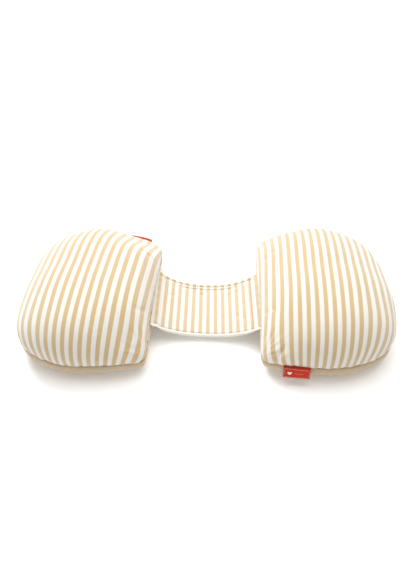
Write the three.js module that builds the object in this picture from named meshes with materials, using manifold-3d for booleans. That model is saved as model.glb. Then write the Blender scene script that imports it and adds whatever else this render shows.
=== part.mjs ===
// A two-lobed support pillow: two stuffed cushions joined by a padded band.
// Millimetres, +Z up, standing on z = 0, with the middle of the gap over the origin.
// Each cushion is a removable cover (striped top panel, plain base panel with a
// zip in a recessed placket), a liner bag in two panels, and a fibre core.
// The two cushions are one design: the left one is the right one turned half round.
import * as THREE from "three";
import { mergeVertices } from "three/addons/utils/BufferGeometryUtils.js";
import Module from "manifold-3d";

// ---- driving dimensions ------------------------------------------------------
const BAND_SPAN = 196; // between the two cushions' seams
const LOBE_WIDTH = 252; // across one cushion, from the band outwards
const LOBE_DEPTH = 346; // the cushion's longest side
const INNER_EDGE = 300; // the straight edge that faces the band, corner to corner
const CORNER = 12; // how much of that edge each rounded corner takes
const WIDEST_AT = 114; // from the inner edge to where the cushion is deepest
const SEAM_HEIGHT = 42; // where top panel and base panel meet
const CROWN = 84; // the top panel's rise above the seam
const BASE_INSET = 36; // how far the base draws in under the outer edges
const BASE_INSET_INNER = 9; // and under the edge that faces the band

// The outline's curves. A corner's are in corner lengths from its tip, outwards and
// along the edge. The others are shares, and a larger one gives a fuller curve.
const CORNER_END = [0.55, 0.5];
const CORNER_LEAD = [1.6, 1.3];
const END_FULL = 0.55; // the front and back, between a corner and the deepest line
const SHOULDER_FULL = 0.5; // from the deepest line outwards
const OUTER_FULL = 0.55; // the outermost edge

// The profile's curves: powers of a circle's sine and cosine, so 1 is round, and less
// is fuller.
const CROWN_RISE = 0.95;
const CROWN_ROUND = 0.8;
const WALL_ROUND = 0.8;
const CROWN_FLAT = 0.12; // the crown's flat middle, as a share of the outline
const INNER_BLEND = 0.6; // how far out the inner edge's inset becomes the outer one

const COVER_THICK = 1.2;
const LINER_THICK = 0.8;
const LAYER_GAP = 0.7; // between cover and liner, and between liner and core
const SEAM_GAP = 0.3; // between pieces that are sewn edge to edge

const BAND_END_WIDTH = 144; // the band where it is sewn in
const BAND_WAIST = 140; // and halfway along
const BAND_SAG = 30; // how far its middle hangs below its ends
const BAND_FORWARD = 7; // how far its middle lies towards the front
const BAND_SKEW = 5; // and how much further its right end does
const BAND_THICK = 7;
const BAND_EDGE_THICK = 3.4; // where the layers are stitched together
const BAND_FABRIC = 1;
const BAND_FULL = 8; // how far towards its stitched edges the band stays padded
const BAND_FABRIC_GAP = 0.3; // between the wadding and the fabric on each side of it
const TAB_LENGTH = 12; // the unpadded end that bends as a hinge
const TAB_THICK = 2.2;
const TAB_SEAM_THICK = 0.6; // where the tab is sewn in

const LABEL_WIDTH = 45;
const LABEL_DROP = 19;
const LABEL_THICK = 0.5;
const LABEL_FROM = 31; // from the inner edge to the label's near side
const LABEL_TILT = THREE.MathUtils.degToRad(75); // below level

const ZIP_AT = 140; // from the inner edge to the zip's middle line
const ZIP_FROM_EDGE = 11; // from the slot's ends to the edge of the flat underside
const SLOT_WIDTH = 16;
const PLACKET_HEIGHT = 6.4; // how deep the zip lies above the floor
const TAPE_WIDTH = 19;
const TAPE_THICK = 0.6;
const TAPE_LAP = 4; // how far the tapes run past the slot's ends
const COIL_WIDTH = 2.4;
const COIL_THICK = 1.7;
const COIL_GAP = 1.6; // between the rows, where the slider's post runs
const COIL_SHORT = 4; // the rows end this far short of the slot's ends
const STOP_LENGTH = 2.5;
const SLIDER_LENGTH = 11;
const SLIDER_WIDTH = 9;
const SLIDER_PLATE = 1;
const BAIL_WIDTH = 2.4;
const BAIL_LENGTH = 7.6;
const BAIL_DROP = 2.4;
const BAIL_THICK = 0.8;
const PULL_LENGTH = 17;
const PULL_WIDTH = 6;
const PULL_THICK = 0.9;
const PULL_RAIL = 0.9;
const GROOVE_CLEAR = 3; // room round the zip in the liner and the core

const OUTLINE_STEPS = 20; // samples along half of the outline
const CROWN_LEVELS = 5;
const BASE_LEVELS = 3;
const BAND_STEP = 14; // length of a facet along the band
const BAND_ACROSS = 8; // facets across the band

// ---- colours ----------------------------------------------------------------
const material = (color, roughness, metalness = 0) =>
  new THREE.MeshStandardMaterial({ color, roughness, metalness });
const STRIPED_COTTON = material(0xf2e2c6, 0.9);
const PLAIN_COTTON = material(0xe9cfa4, 0.9);
const WHITE_COTTON = material(0xf4f0e8, 0.9);
const LINER_CLOTH = material(0xf7f7f4, 0.95);
const FIBRE = material(0xfbfbfb, 1);
const RED_SATIN = material(0xcf3a22, 0.6);
const ZIP_NYLON = material(0xe6d2ad, 0.6);
const ZIP_METAL = material(0xc9c6be, 0.35, 0.9);

// ---- solids -------------------------------------------------------------------
const wasm = await Module();
wasm.setup();

// A three.js geometry as a manifold solid.
function solid(geometry) {
  const bare = geometry.clone();
  bare.deleteAttribute("normal");
  bare.deleteAttribute("uv");
  const merged = mergeVertices(bare, 1e-4);
  const mesh = { numProp: 3, vertProperties: merged.attributes.position.array };
  mesh.triVerts = new Uint32Array(merged.index.array);
  return new wasm.Manifold(new wasm.Mesh(mesh));
}

// A manifold solid as a three.js geometry.
function geometryOf(manifold) {
  const mesh = manifold.getMesh();
  const geometry = new THREE.BufferGeometry();
  geometry.setAttribute("position", new THREE.BufferAttribute(mesh.vertProperties, 3));
  geometry.setIndex(new THREE.BufferAttribute(mesh.triVerts, 1));
  geometry.computeVertexNormals();
  return geometry;
}

// A box from its low and high corners.
function block([x0, y0, z0], [x1, y1, z1]) {
  const geometry = new THREE.BoxGeometry(x1 - x0, y1 - y0, z1 - z0);
  geometry.translate((x0 + x1) / 2, (y0 + y1) / 2, (z0 + z1) / 2);
  return solid(geometry);
}

// A closed skin over rings of points: every ring has as many points as the others,
// and the first and last rings are closed by a fan to their own middle point.
function ringSolid(rings) {
  const count = rings[0].length;
  const points = rings.flat();
  const faces = [];
  for (let r = 0; r + 1 < rings.length; r += 1) {
    for (let i = 0; i < count; i += 1) {
      const j = (i + 1) % count;
      const [a, b] = [r * count + i, r * count + j];
      const [c, d] = [a + count, b + count];
      faces.push(a, b, d, a, d, c);
    }
  }
  const middle = (ring) =>
    ring.reduce((sum, p) => sum.add(p), new THREE.Vector3()).divideScalar(count);
  const low = points.push(middle(rings[0])) - 1;
  const high = points.push(middle(rings.at(-1))) - 1;
  const last = (rings.length - 1) * count;
  for (let i = 0; i < count; i += 1) {
    const j = (i + 1) % count;
    faces.push(low, j, i, high, last + i, last + j);
  }
  const geometry = new THREE.BufferGeometry().setFromPoints(points);
  geometry.setIndex(faces);
  return solid(geometry);
}

// ---- the cushion's shape, with its inner edge on x = 0 --------------------------
const CENTRE = new THREE.Vector2(WIDEST_AT, 0);

// Half of the seam's outline, from the inner edge's middle to the outermost point.
function halfOutline() {
  const half = INNER_EDGE / 2;
  const depth = LOBE_DEPTH / 2;
  const outer = LOBE_WIDTH - WIDEST_AT;
  const path = new THREE.Path();
  path.moveTo(0, 0);
  path.lineTo(0, half - CORNER);
  const [endX, endY] = CORNER_END.map((share) => share * CORNER);
  const [leadX, leadY] = CORNER_LEAD.map((share) => share * CORNER);
  const [fromX, toX] = [END_FULL * WIDEST_AT, WIDEST_AT + SHOULDER_FULL * outer];
  path.quadraticCurveTo(0, half, endX, half + endY);
  path.bezierCurveTo(leadX, half + leadY, fromX, depth, WIDEST_AT, depth);
  path.bezierCurveTo(toX, depth, LOBE_WIDTH, OUTER_FULL * depth, LOBE_WIDTH, 0);
  return path.getSpacedPoints(OUTLINE_STEPS);
}

// The whole outline, anticlockwise seen from above, drawn in by inset all round.
function outline(inset) {
  const upper = halfOutline();
  const lower = upper.slice(1, -1).map((p) => new THREE.Vector2(p.x, -p.y));
  const loop = [...lower, ...upper.slice().reverse()];
  return loop.map((p, i) => {
    const before = loop[(i + loop.length - 1) % loop.length];
    const after = loop[(i + 1) % loop.length];
    const along = after.clone().sub(before).normalize();
    return new THREE.Vector2(p.x - inset * along.y, p.y + inset * along.x);
  });
}

// How far in the base's flat bottom starts, as a share of the way to the centre.
function bottomShare(point) {
  const facing = THREE.MathUtils.smoothstep(point.x, 0, WIDEST_AT * INNER_BLEND);
  const inner = 1 - BASE_INSET_INNER / WIDEST_AT;
  const outer = 1 - BASE_INSET / (LOBE_WIDTH - WIDEST_AT);
  return THREE.MathUtils.lerp(inner, outer, facing);
}

// The whole cushion's form, drawn in by inset on every side.
function cushion(inset) {
  const seam = outline(inset);
  const at = (p, share, z) =>
    new THREE.Vector3(CENTRE.x + share * (p.x - CENTRE.x), share * p.y, z);
  const rings = [];
  for (let k = BASE_LEVELS; k > 0; k -= 1) {
    const turn = ((k / BASE_LEVELS) * Math.PI) / 2;
    const fall = Math.sin(turn) ** WALL_ROUND;
    const drawn = 1 - Math.cos(turn) ** WALL_ROUND;
    const z = SEAM_HEIGHT - (SEAM_HEIGHT - inset) * fall;
    rings.push(seam.map((p) => at(p, 1 - (1 - bottomShare(p)) * drawn, z)));
  }
  for (let k = 0; k < CROWN_LEVELS; k += 1) {
    const turn = ((k / CROWN_LEVELS) * Math.PI) / 2;
    const rise = Math.sin(turn) ** CROWN_RISE;
    const share = Math.cos(turn) ** CROWN_ROUND;
    rings.push(seam.map((p) => at(p, share, SEAM_HEIGHT + (CROWN - inset) * rise)));
  }
  const top = SEAM_HEIGHT + CROWN - inset;
  rings.push(seam.map((p) => at(p, CROWN_FLAT, top)));
  return ringSolid(rings);
}

const FAR = 500; // further than the cushion reaches
const above = (z) => block([-FAR, -FAR, z], [FAR, FAR, FAR]);
const below = (z) => block([-FAR, -FAR, -FAR], [FAR, FAR, z]);

// Half the length of the zip's slot: the underside is flat as far as its outer inset lets it.
const flatHalf = (LOBE_DEPTH / 2) * (1 - BASE_INSET / (LOBE_WIDTH - WIDEST_AT));
const slotY = flatHalf - ZIP_FROM_EDGE;

// The room that the zip takes out of what lies over it.
function zipGroove(extra) {
  const x = TAPE_WIDTH + COIL_GAP / 2 + GROOVE_CLEAR + extra;
  const y = slotY + TAPE_LAP + GROOVE_CLEAR + extra;
  const z = PLACKET_HEIGHT + TAPE_THICK + SLIDER_PLATE + GROOVE_CLEAR + extra;
  return block([ZIP_AT - x, -y, -FAR], [ZIP_AT + x, y, z]);
}

// ---- one cushion's pieces, with its inner edge on x = 0 --------------------------
const pieces = [];
function piece(name, manifold, finish) {
  pieces.push({ name, manifold, finish });
}

const cover = cushion(0).subtract(cushion(COVER_THICK));
piece("top_panel", cover.intersect(above(SEAM_HEIGHT + SEAM_GAP / 2)), STRIPED_COTTON);

const slotX = SLOT_WIDTH / 2;
const wall = COVER_THICK;
const slot = (grow, z0, z1) =>
  block([ZIP_AT - slotX - grow, -slotY - grow, z0], [ZIP_AT + slotX + grow, slotY + grow, z1]);
const placket = slot(wall, 0, PLACKET_HEIGHT).subtract(slot(0, -1, PLACKET_HEIGHT + 1));
const basePanel = cover
  .intersect(below(SEAM_HEIGHT - SEAM_GAP / 2))
  .subtract(slot(0, -1, COVER_THICK + 1))
  .add(placket);
piece("base_panel", basePanel, PLAIN_COTTON);

const linerInset = COVER_THICK + LAYER_GAP;
const linerForm = cushion(linerInset).subtract(zipGroove(0));
const linerInside = cushion(linerInset + LINER_THICK).subtract(zipGroove(LINER_THICK));
const liner = linerForm.subtract(linerInside);
piece("liner_upper", liner.intersect(above(SEAM_HEIGHT + SEAM_GAP / 2)), LINER_CLOTH);
piece("liner_lower", liner.intersect(below(SEAM_HEIGHT - SEAM_GAP / 2)), LINER_CLOTH);

const coreClear = LINER_THICK + LAYER_GAP;
piece("fibre_core", cushion(linerInset + coreClear).subtract(zipGroove(coreClear)), FIBRE);

// The woven label: a strip folded double, its fold hanging out of the front seam.
function labelSolid() {
  const fold = 3 * LABEL_THICK;
  const profile = new THREE.Shape();
  profile.moveTo(0, -fold / 2);
  profile.lineTo(LABEL_DROP, -fold / 2);
  profile.lineTo(LABEL_DROP, fold / 2);
  profile.lineTo(0, fold / 2);
  profile.lineTo(0, LABEL_THICK / 2);
  profile.lineTo(LABEL_DROP - LABEL_THICK, LABEL_THICK / 2);
  profile.lineTo(LABEL_DROP - LABEL_THICK, -LABEL_THICK / 2);
  profile.lineTo(0, -LABEL_THICK / 2);
  const strip = new THREE.ExtrudeGeometry(profile, { depth: LABEL_WIDTH, bevelEnabled: false });
  const near = seamPoint(LABEL_FROM);
  const far = seamPoint(LABEL_FROM + LABEL_WIDTH);
  const along = new THREE.Vector3(far.x - near.x, far.y - near.y, 0).normalize();
  const outward = new THREE.Vector3(along.y, -along.x, 0);
  const drop = outward
    .clone()
    .multiplyScalar(Math.cos(LABEL_TILT))
    .add(new THREE.Vector3(0, 0, -Math.sin(LABEL_TILT)));
  const up = new THREE.Vector3().crossVectors(along, drop);
  const start = new THREE.Vector3(near.x, near.y, SEAM_HEIGHT);
  const standOff = SEAM_GAP + bulge(near, far) + (fold / 2) * Math.sin(LABEL_TILT);
  start.addScaledVector(outward, standOff);
  const place = new THREE.Matrix4().makeBasis(drop, up, along).setPosition(start);
  return solid(strip.applyMatrix4(place));
}

// The seam's front edge at a distance x from the inner edge.
function seamPoint(x) {
  const half = halfOutline().map((p) => new THREE.Vector2(p.x, -p.y));
  const next = half.findIndex((p) => p.x > x);
  const [a, b] = [half[next - 1], half[next]];
  return a.clone().lerp(b, (x - a.x) / (b.x - a.x));
}

// How far the seam stands out past the straight line between two of its points.
function bulge(near, far) {
  const along = far.clone().sub(near).normalize();
  const outward = new THREE.Vector2(along.y, -along.x);
  const between = halfOutline()
    .map((p) => new THREE.Vector2(p.x, -p.y))
    .filter((p) => p.x > near.x && p.x < far.x);
  return Math.max(0, ...between.map((p) => p.sub(near).dot(outward)));
}
piece("woven_label", labelSolid(), RED_SATIN);

// The zip, drawn closed. Tapes lie on the placket, and the rows of teeth hang below.
const tapeLow = PLACKET_HEIGHT + SEAM_GAP;
const tapeHigh = tapeLow + TAPE_THICK;
const coilHigh = PLACKET_HEIGHT;
const coilLow = coilHigh - COIL_THICK;
const coilNear = COIL_GAP / 2;
const coilFar = coilNear + COIL_WIDTH;
const coilEnd = slotY - COIL_SHORT;
const tapeEnd = slotY + TAPE_LAP;
const ROWS = { inner: -1, outer: 1 };
const across = (side, a, b) => [ZIP_AT + side * a, ZIP_AT + side * b].sort((p, q) => p - q);
for (const [row, side] of Object.entries(ROWS)) {
  const [tape0, tape1] = across(side, coilNear, coilNear + TAPE_WIDTH);
  const [coil0, coil1] = across(side, coilNear, coilFar);
  const tape = block([tape0, -tapeEnd, tapeLow], [tape1, tapeEnd, tapeHigh]);
  const coil = block([coil0, -coilEnd, coilLow], [coil1, coilEnd, coilHigh]);
  const stopFrom = coilEnd + SEAM_GAP;
  const stop = block([coil0, stopFrom, coilLow], [coil1, stopFrom + STOP_LENGTH, coilHigh]);
  piece(`zip_tape_${row}`, tape, ZIP_NYLON);
  piece(`zip_coil_${row}`, coil, ZIP_NYLON);
  piece(`zip_top_stop_${row}`, stop, ZIP_METAL);
}
const endFrom = coilEnd + SEAM_GAP;
const endStop = block(
  [ZIP_AT - coilFar, -endFrom - STOP_LENGTH, coilLow],
  [ZIP_AT + coilFar, -endFrom, coilHigh],
);
piece("zip_end_stop", endStop, ZIP_METAL);

// The slider: a plate on each side of the zip, a post between them, and a bail below.
const sliderAt = coilEnd - SLIDER_LENGTH / 2; // its middle, with the zip closed
const lowPlateTop = coilLow - SEAM_GAP;
const lowPlate = lowPlateTop - SLIDER_PLATE;
const highPlate = tapeHigh + SEAM_GAP;
const plateX = SLIDER_WIDTH / 2;
const plateY = SLIDER_LENGTH / 2;
const postX = COIL_GAP / 2 - SEAM_GAP;
const plate = (z) =>
  block(
    [ZIP_AT - plateX, sliderAt - plateY, z],
    [ZIP_AT + plateX, sliderAt + plateY, z + SLIDER_PLATE],
  );
const post = block(
  [ZIP_AT - postX, sliderAt, lowPlate],
  [ZIP_AT + postX, sliderAt + plateY, highPlate + SLIDER_PLATE],
);
const bailX = BAIL_WIDTH / 2;
const bailY = BAIL_LENGTH / 2;
const bail = block(
  [ZIP_AT - bailX, sliderAt - bailY, lowPlate - BAIL_DROP],
  [ZIP_AT + bailX, sliderAt + bailY, lowPlate + SLIDER_PLATE / 2],
);
const bailEye = block(
  [ZIP_AT - bailX - 1, sliderAt - bailY + BAIL_THICK, lowPlate - BAIL_DROP + BAIL_THICK],
  [ZIP_AT + bailX + 1, sliderAt + bailY - BAIL_THICK, lowPlate],
);
const slider = plate(lowPlate).add(plate(highPlate)).add(post).add(bail.subtract(bailEye));
piece("zip_slider", slider, ZIP_METAL);

// The pull: a flat tab with a window, whose end bar turns inside the bail.
const pullAxisZ = lowPlate - (BAIL_DROP - BAIL_THICK) / 2;
const barY = sliderAt + bailY - BAIL_THICK - PULL_THICK;
const pullLow = pullAxisZ - PULL_THICK / 2;
const pullHigh = pullAxisZ + PULL_THICK / 2;
const pullX = PULL_WIDTH / 2;
const pullPlate = block(
  [ZIP_AT - pullX, barY - PULL_LENGTH, pullLow],
  [ZIP_AT + pullX, barY + PULL_THICK / 2, pullHigh],
);
const pullWindow = block(
  [ZIP_AT - pullX + PULL_RAIL, barY - bailY * 2 - PULL_THICK, pullLow - 1],
  [ZIP_AT + pullX - PULL_RAIL, barY - PULL_THICK / 2, pullHigh + 1],
);
piece("zip_pull", pullPlate.subtract(pullWindow), ZIP_METAL);

// ---- the band ---------------------------------------------------------------------
const HALF_SPAN = BAND_SPAN / 2;
const bandZ = (x) => SEAM_HEIGHT - BAND_SAG * (1 - (x / HALF_SPAN) ** 2);
const bandMiddle = (x) => -BAND_FORWARD - (BAND_SKEW * x) / HALF_SPAN;
const bandHalfWidth = (x) =>
  (BAND_WAIST + (BAND_END_WIDTH - BAND_WAIST) * (x / HALF_SPAN) ** 2) / 2;

// A layer of the band from x0 to x1. under and over give its two faces' heights above
// the band's middle surface, from x and from a crown that is 0 at the edges and 1 between.
function bandLayer(x0, x1, under, over) {
  const steps = Math.max(2, Math.round((x1 - x0) / BAND_STEP));
  const geometry = new THREE.BoxGeometry(x1 - x0, 2, 1, steps, BAND_ACROSS, 1);
  geometry.translate((x0 + x1) / 2, 0, 0.5);
  const position = geometry.attributes.position;
  for (let i = 0; i < position.count; i += 1) {
    const x = position.getX(i);
    const share = Math.sin((position.getY(i) * Math.PI) / 2);
    const crown = 1 - Math.abs(share) ** BAND_FULL;
    const stand = THREE.MathUtils.lerp(under(x, crown), over(x, crown), position.getZ(i));
    position.setXYZ(i, x, bandMiddle(x) + share * bandHalfWidth(x), bandZ(x) + stand);
  }
  return solid(geometry);
}

const padEnd = HALF_SPAN - SEAM_GAP - TAB_LENGTH - SEAM_GAP;
const swell = (BAND_THICK - BAND_EDGE_THICK) / 2;
const edgeHalf = BAND_EDGE_THICK / 2;
const foldHalf = edgeHalf - BAND_FABRIC;
const wadHalf = foldHalf - BAND_FABRIC_GAP;
const model = new THREE.Group();
function add(name, manifold, finish, parent = model) {
  const mesh = new THREE.Mesh(geometryOf(manifold), finish);
  mesh.name = name;
  parent.add(mesh);
}
const padLayer = (low, high, lowSwell, highSwell) =>
  bandLayer(
    -padEnd,
    padEnd,
    (x, crown) => low + lowSwell * crown,
    (x, crown) => high + highSwell * crown,
  );
add("band_top", padLayer(foldHalf, edgeHalf, swell, swell), STRIPED_COTTON);
add("band_wadding", padLayer(-wadHalf, wadHalf, -swell, swell), FIBRE);
add("band_lining", padLayer(-edgeHalf, -foldHalf, -swell, -swell), WHITE_COTTON);

// The unpadded tabs rise from the band's ends and thin out at the seams that hold them,
// just below the fold line, so that a cushion folds up over them freely.
const towardsSeam = (x) => (Math.abs(x) - padEnd) / (HALF_SPAN - padEnd);
const tabUnder = (x) => THREE.MathUtils.lerp(-TAB_THICK / 2, -TAB_SEAM_THICK, towardsSeam(x));
const tabOver = (x) => THREE.MathUtils.lerp(TAB_THICK / 2, 0, towardsSeam(x));
for (const [name, side] of [["left", -1], ["right", 1]]) {
  const ends = [side * (padEnd + SEAM_GAP), side * (HALF_SPAN - SEAM_GAP)];
  const tab = bandLayer(Math.min(...ends), Math.max(...ends), tabUnder, tabOver);
  add(`band_tab_${name}`, tab, STRIPED_COTTON);
}

// ---- the two cushions -----------------------------------------------------------
for (const [side, turn] of [["right", 0], ["left", Math.PI]]) {
  const turned = new THREE.Group();
  turned.rotation.z = turn;
  const placed = new THREE.Group();
  placed.position.x = HALF_SPAN;
  turned.add(placed);
  for (const { name, manifold, finish } of pieces) {
    add(`${side}_${name}`, manifold, finish, placed);
  }
  model.add(turned);
}

export default model;
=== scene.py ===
# %% [markdown]
# # A two-cushion support pillow
#
# The real object is a pillow that a side sleeper lies between: two stuffed, D-shaped
# cushions and a short padded band that joins them. Its shape was settled in CAD, so
# this lesson loads that model as a fixed frame and dresses it in cloth, thread and zip.
# Everything is in metres, with +X to the right, +Y to the back and +Z up.

# %% Load the frame
import math

import bmesh
import bpy
import numpy as np
from mathutils import Matrix, Vector, noise


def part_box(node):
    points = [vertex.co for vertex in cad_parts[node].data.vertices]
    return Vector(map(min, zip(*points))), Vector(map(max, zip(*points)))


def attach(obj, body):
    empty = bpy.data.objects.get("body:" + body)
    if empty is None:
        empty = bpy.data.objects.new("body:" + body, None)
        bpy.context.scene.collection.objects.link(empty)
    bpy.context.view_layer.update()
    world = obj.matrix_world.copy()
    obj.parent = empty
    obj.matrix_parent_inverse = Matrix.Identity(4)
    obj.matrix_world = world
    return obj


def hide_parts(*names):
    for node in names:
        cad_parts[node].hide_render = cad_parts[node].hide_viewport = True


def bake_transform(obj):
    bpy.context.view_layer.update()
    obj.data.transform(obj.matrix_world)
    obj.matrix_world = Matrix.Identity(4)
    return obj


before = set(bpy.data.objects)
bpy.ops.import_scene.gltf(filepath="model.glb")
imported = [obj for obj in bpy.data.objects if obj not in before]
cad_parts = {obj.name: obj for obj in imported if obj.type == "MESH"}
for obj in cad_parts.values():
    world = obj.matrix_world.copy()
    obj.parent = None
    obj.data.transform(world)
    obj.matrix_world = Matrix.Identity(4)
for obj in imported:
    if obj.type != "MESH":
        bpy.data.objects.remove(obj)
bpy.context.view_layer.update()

# %% [markdown]
# ## Camera
#
# A product picture of soft goods is taken from high up, so that the shapes read from
# above. The camera is placed by what it looks at, how far away it is and how far it
# tips down, because those are the numbers a person would change.

# %% Camera
LOOK_AT = Vector((0.0028, 0.0202, 0.040))
LOOK_FROM = 0.950
TIP_DOWN, TURN, LEAN = (math.radians(a) for a in (42.8, -1.3, -1.14))
LENS = 30.2

camera = bpy.data.objects.new("camera", bpy.data.cameras.new("camera"))
bpy.context.scene.collection.objects.link(camera)
ahead = Vector(
    (
        math.sin(TURN) * math.cos(TIP_DOWN),
        math.cos(TURN) * math.cos(TIP_DOWN),
        -math.sin(TIP_DOWN),
    )
)
level = Vector((math.cos(TURN), -math.sin(TURN), 0))
rightward = level * math.cos(LEAN) + level.cross(ahead) * math.sin(LEAN)
upward = rightward.cross(ahead)
camera.matrix_world = Matrix.Translation(LOOK_AT - ahead * LOOK_FROM) @ Matrix(
    (rightward, upward, -ahead)
).transposed().to_4x4()
camera.data.lens = LENS
bpy.context.scene.camera = camera
print("camera at", [round(v, 3) for v in camera.matrix_world.translation])

# %% [markdown]
# ## Floor and light
#
# Pale cloth on a white floor is lit softly from all round, or its stripes drown in
# shadow. A white sky does most of it. One large lamp at the back left gives the crowns
# their shape and lays the shadows towards the front right.

# %% Floor, sky and lamps
def new_material(name, colour, roughness):
    """A material with one Principled shader, returned with its nodes."""
    material = bpy.data.materials.new(name)
    material.use_nodes = True
    shader = material.node_tree.nodes["Principled BSDF"]
    shader.inputs["Base Color"].default_value = (*colour, 1)
    shader.inputs["Roughness"].default_value = roughness
    material.diffuse_color = (*colour, 1)
    return material, material.node_tree, shader


def mesh_object(name, points, faces, material, smooth=True):
    """A new mesh object from points and faces, linked into the scene."""
    mesh = bpy.data.meshes.new(name)
    mesh.from_pydata([tuple(map(float, p)) for p in points], [], [tuple(f) for f in faces])
    mesh.validate()
    mesh.materials.append(material)
    mesh.polygons.foreach_set("use_smooth", [smooth] * len(mesh.polygons))
    obj = bpy.data.objects.new(name, mesh)
    bpy.context.scene.collection.objects.link(obj)
    return obj


floor_white, _, floor_shader = new_material("floor_white", (0.97, 0.97, 0.97), 0.9)
floor_shader.inputs["Specular IOR Level"].default_value = 0.1
floor_shader.inputs["Emission Color"].default_value = (1.0, 0.995, 0.985, 1)
floor_shader.inputs["Emission Strength"].default_value = 0.13  # a lit sweep keeps shadows pale
FLOOR_REACH = 6.0
floor_corners = [(-1, -1), (1, -1), (1, 1), (-1, 1)]
floor = mesh_object(
    "floor",
    [(x * FLOOR_REACH, y * FLOOR_REACH, -0.0004) for x, y in floor_corners],
    [(0, 1, 2, 3)],
    floor_white,
    smooth=False,
)

sky = bpy.data.worlds.new("studio_sky")
sky.use_nodes = True
sky.node_tree.nodes["Background"].inputs["Color"].default_value = (1.0, 0.995, 0.985, 1)
sky.node_tree.nodes["Background"].inputs["Strength"].default_value = 0.54
bpy.context.scene.world = sky
bpy.context.scene.view_settings.view_transform = "Standard"


def soft_lamp(name, place, size, watts):
    """A square area lamp at place that shines at the object."""
    data = bpy.data.lights.new(name, "AREA")
    data.size = size
    data.energy = watts
    lamp = bpy.data.objects.new(name, data)
    lamp.location = place
    lamp.rotation_euler = (LOOK_AT - Vector(place)).to_track_quat("-Z", "Y").to_euler()
    bpy.context.scene.collection.objects.link(lamp)


soft_lamp("key_lamp", (-1.0, 1.8, 2.1), 1.6, 73)
soft_lamp("top_lamp", (0.3, 0.5, 2.6), 2.2, 46)

# %% [markdown]
# ## Cloth materials
#
# The cover is cotton jersey. Close up, jersey is columns of small interlocked V
# stitches, and its yarn is never one flat colour. Both come from one node group that
# reads the cloth's own map, a UV map whose units are metres of cloth. So the stitches
# keep their size and run along the cloth wherever it bends.

# %% Node helpers
CLOTH_MAP = "cloth_metres"


def node(tree, kind, **settings):
    """A new node of a kind; settings name its properties."""
    made = tree.nodes.new(kind)
    for key, value in settings.items():
        setattr(made, key, value)
    return made


def feed(tree, socket, value):
    """Sets a socket to a plain value, or links it to another socket."""
    if isinstance(value, bpy.types.NodeSocket):
        tree.links.new(value, socket)
    else:
        socket.default_value = value


def calc(tree, operation, *values):
    """A Math node; returns its output."""
    made = node(tree, "ShaderNodeMath", operation=operation)
    for socket, value in zip(made.inputs, values):
        feed(tree, socket, value)
    return made.outputs[0]


def blend_colour(tree, share, first, second):
    """A colour Mix node; returns its output."""
    made = node(tree, "ShaderNodeMix", data_type="RGBA")
    feed(tree, made.inputs["Factor"], share)
    for socket, value in ((made.inputs["A"], first), (made.inputs["B"], second)):
        feed(tree, socket, value)
    return next(s for s in made.outputs if s.type == "RGBA")


def noise_of(tree, vector, scale, detail=2.0):
    """The value of a noise texture over a vector."""
    made = node(tree, "ShaderNodeTexNoise")
    feed(tree, made.inputs["Vector"], vector)
    made.inputs["Scale"].default_value = scale
    made.inputs["Detail"].default_value = detail
    return made.outputs["Fac"]


def new_group(name, inputs, outputs):
    """A shader node group with named sockets; returns it with its two end nodes."""
    group = bpy.data.node_groups.new(name, "ShaderNodeTree")
    for label, kind, value in inputs:
        socket = group.interface.new_socket(label, in_out="INPUT", socket_type=kind)
        if value is not None:
            socket.default_value = value
    for label, kind in outputs:
        group.interface.new_socket(label, in_out="OUTPUT", socket_type=kind)
    return group, node(group, "NodeGroupInput"), node(group, "NodeGroupOutput")


# %% Jersey knit group
VECTOR, FLOAT, COLOUR = "NodeSocketVector", "NodeSocketFloat", "NodeSocketColor"
CLOTH_OUTPUTS = [("Colour", COLOUR), ("Height", FLOAT), ("Roughness", FLOAT)]


def put_out_yarn(tree, start, end, height, uneven, gap_shade, rough):
    """Puts out the relief, the colour darkened by painted shade where the yarns part, and
    the roughness. gap_shade and rough are each a slope over the height and the value where the yarns part."""
    swing = calc(tree, "MULTIPLY", calc(tree, "SUBTRACT", uneven, 0.5), start.outputs["Yarn variation"])
    shaded = node(tree, "ShaderNodeVectorMath", operation="SCALE")
    feed(tree, shaded.inputs[0], start.outputs["Colour"])
    feed(tree, shaded.inputs["Scale"], calc(tree, "ADD", calc(tree, "MULTIPLY_ADD", height, *gap_shade), swing))
    feed(tree, end.inputs["Height"], height)
    feed(tree, end.inputs["Colour"], shaded.outputs[0])
    feed(tree, end.inputs["Roughness"], calc(tree, "MULTIPLY_ADD", height, *rough))


knit, knit_in, knit_out = new_group(
    "jersey_knit",
    [
        ("Cloth", VECTOR, None),
        ("Stitch width", FLOAT, 0.0012),
        ("Stitch height", FLOAT, 0.0010),
        ("Colour", COLOUR, (0.8, 0.8, 0.8, 1)),
        ("Yarn variation", FLOAT, 0.1),
    ],
    CLOTH_OUTPUTS,
)


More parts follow.
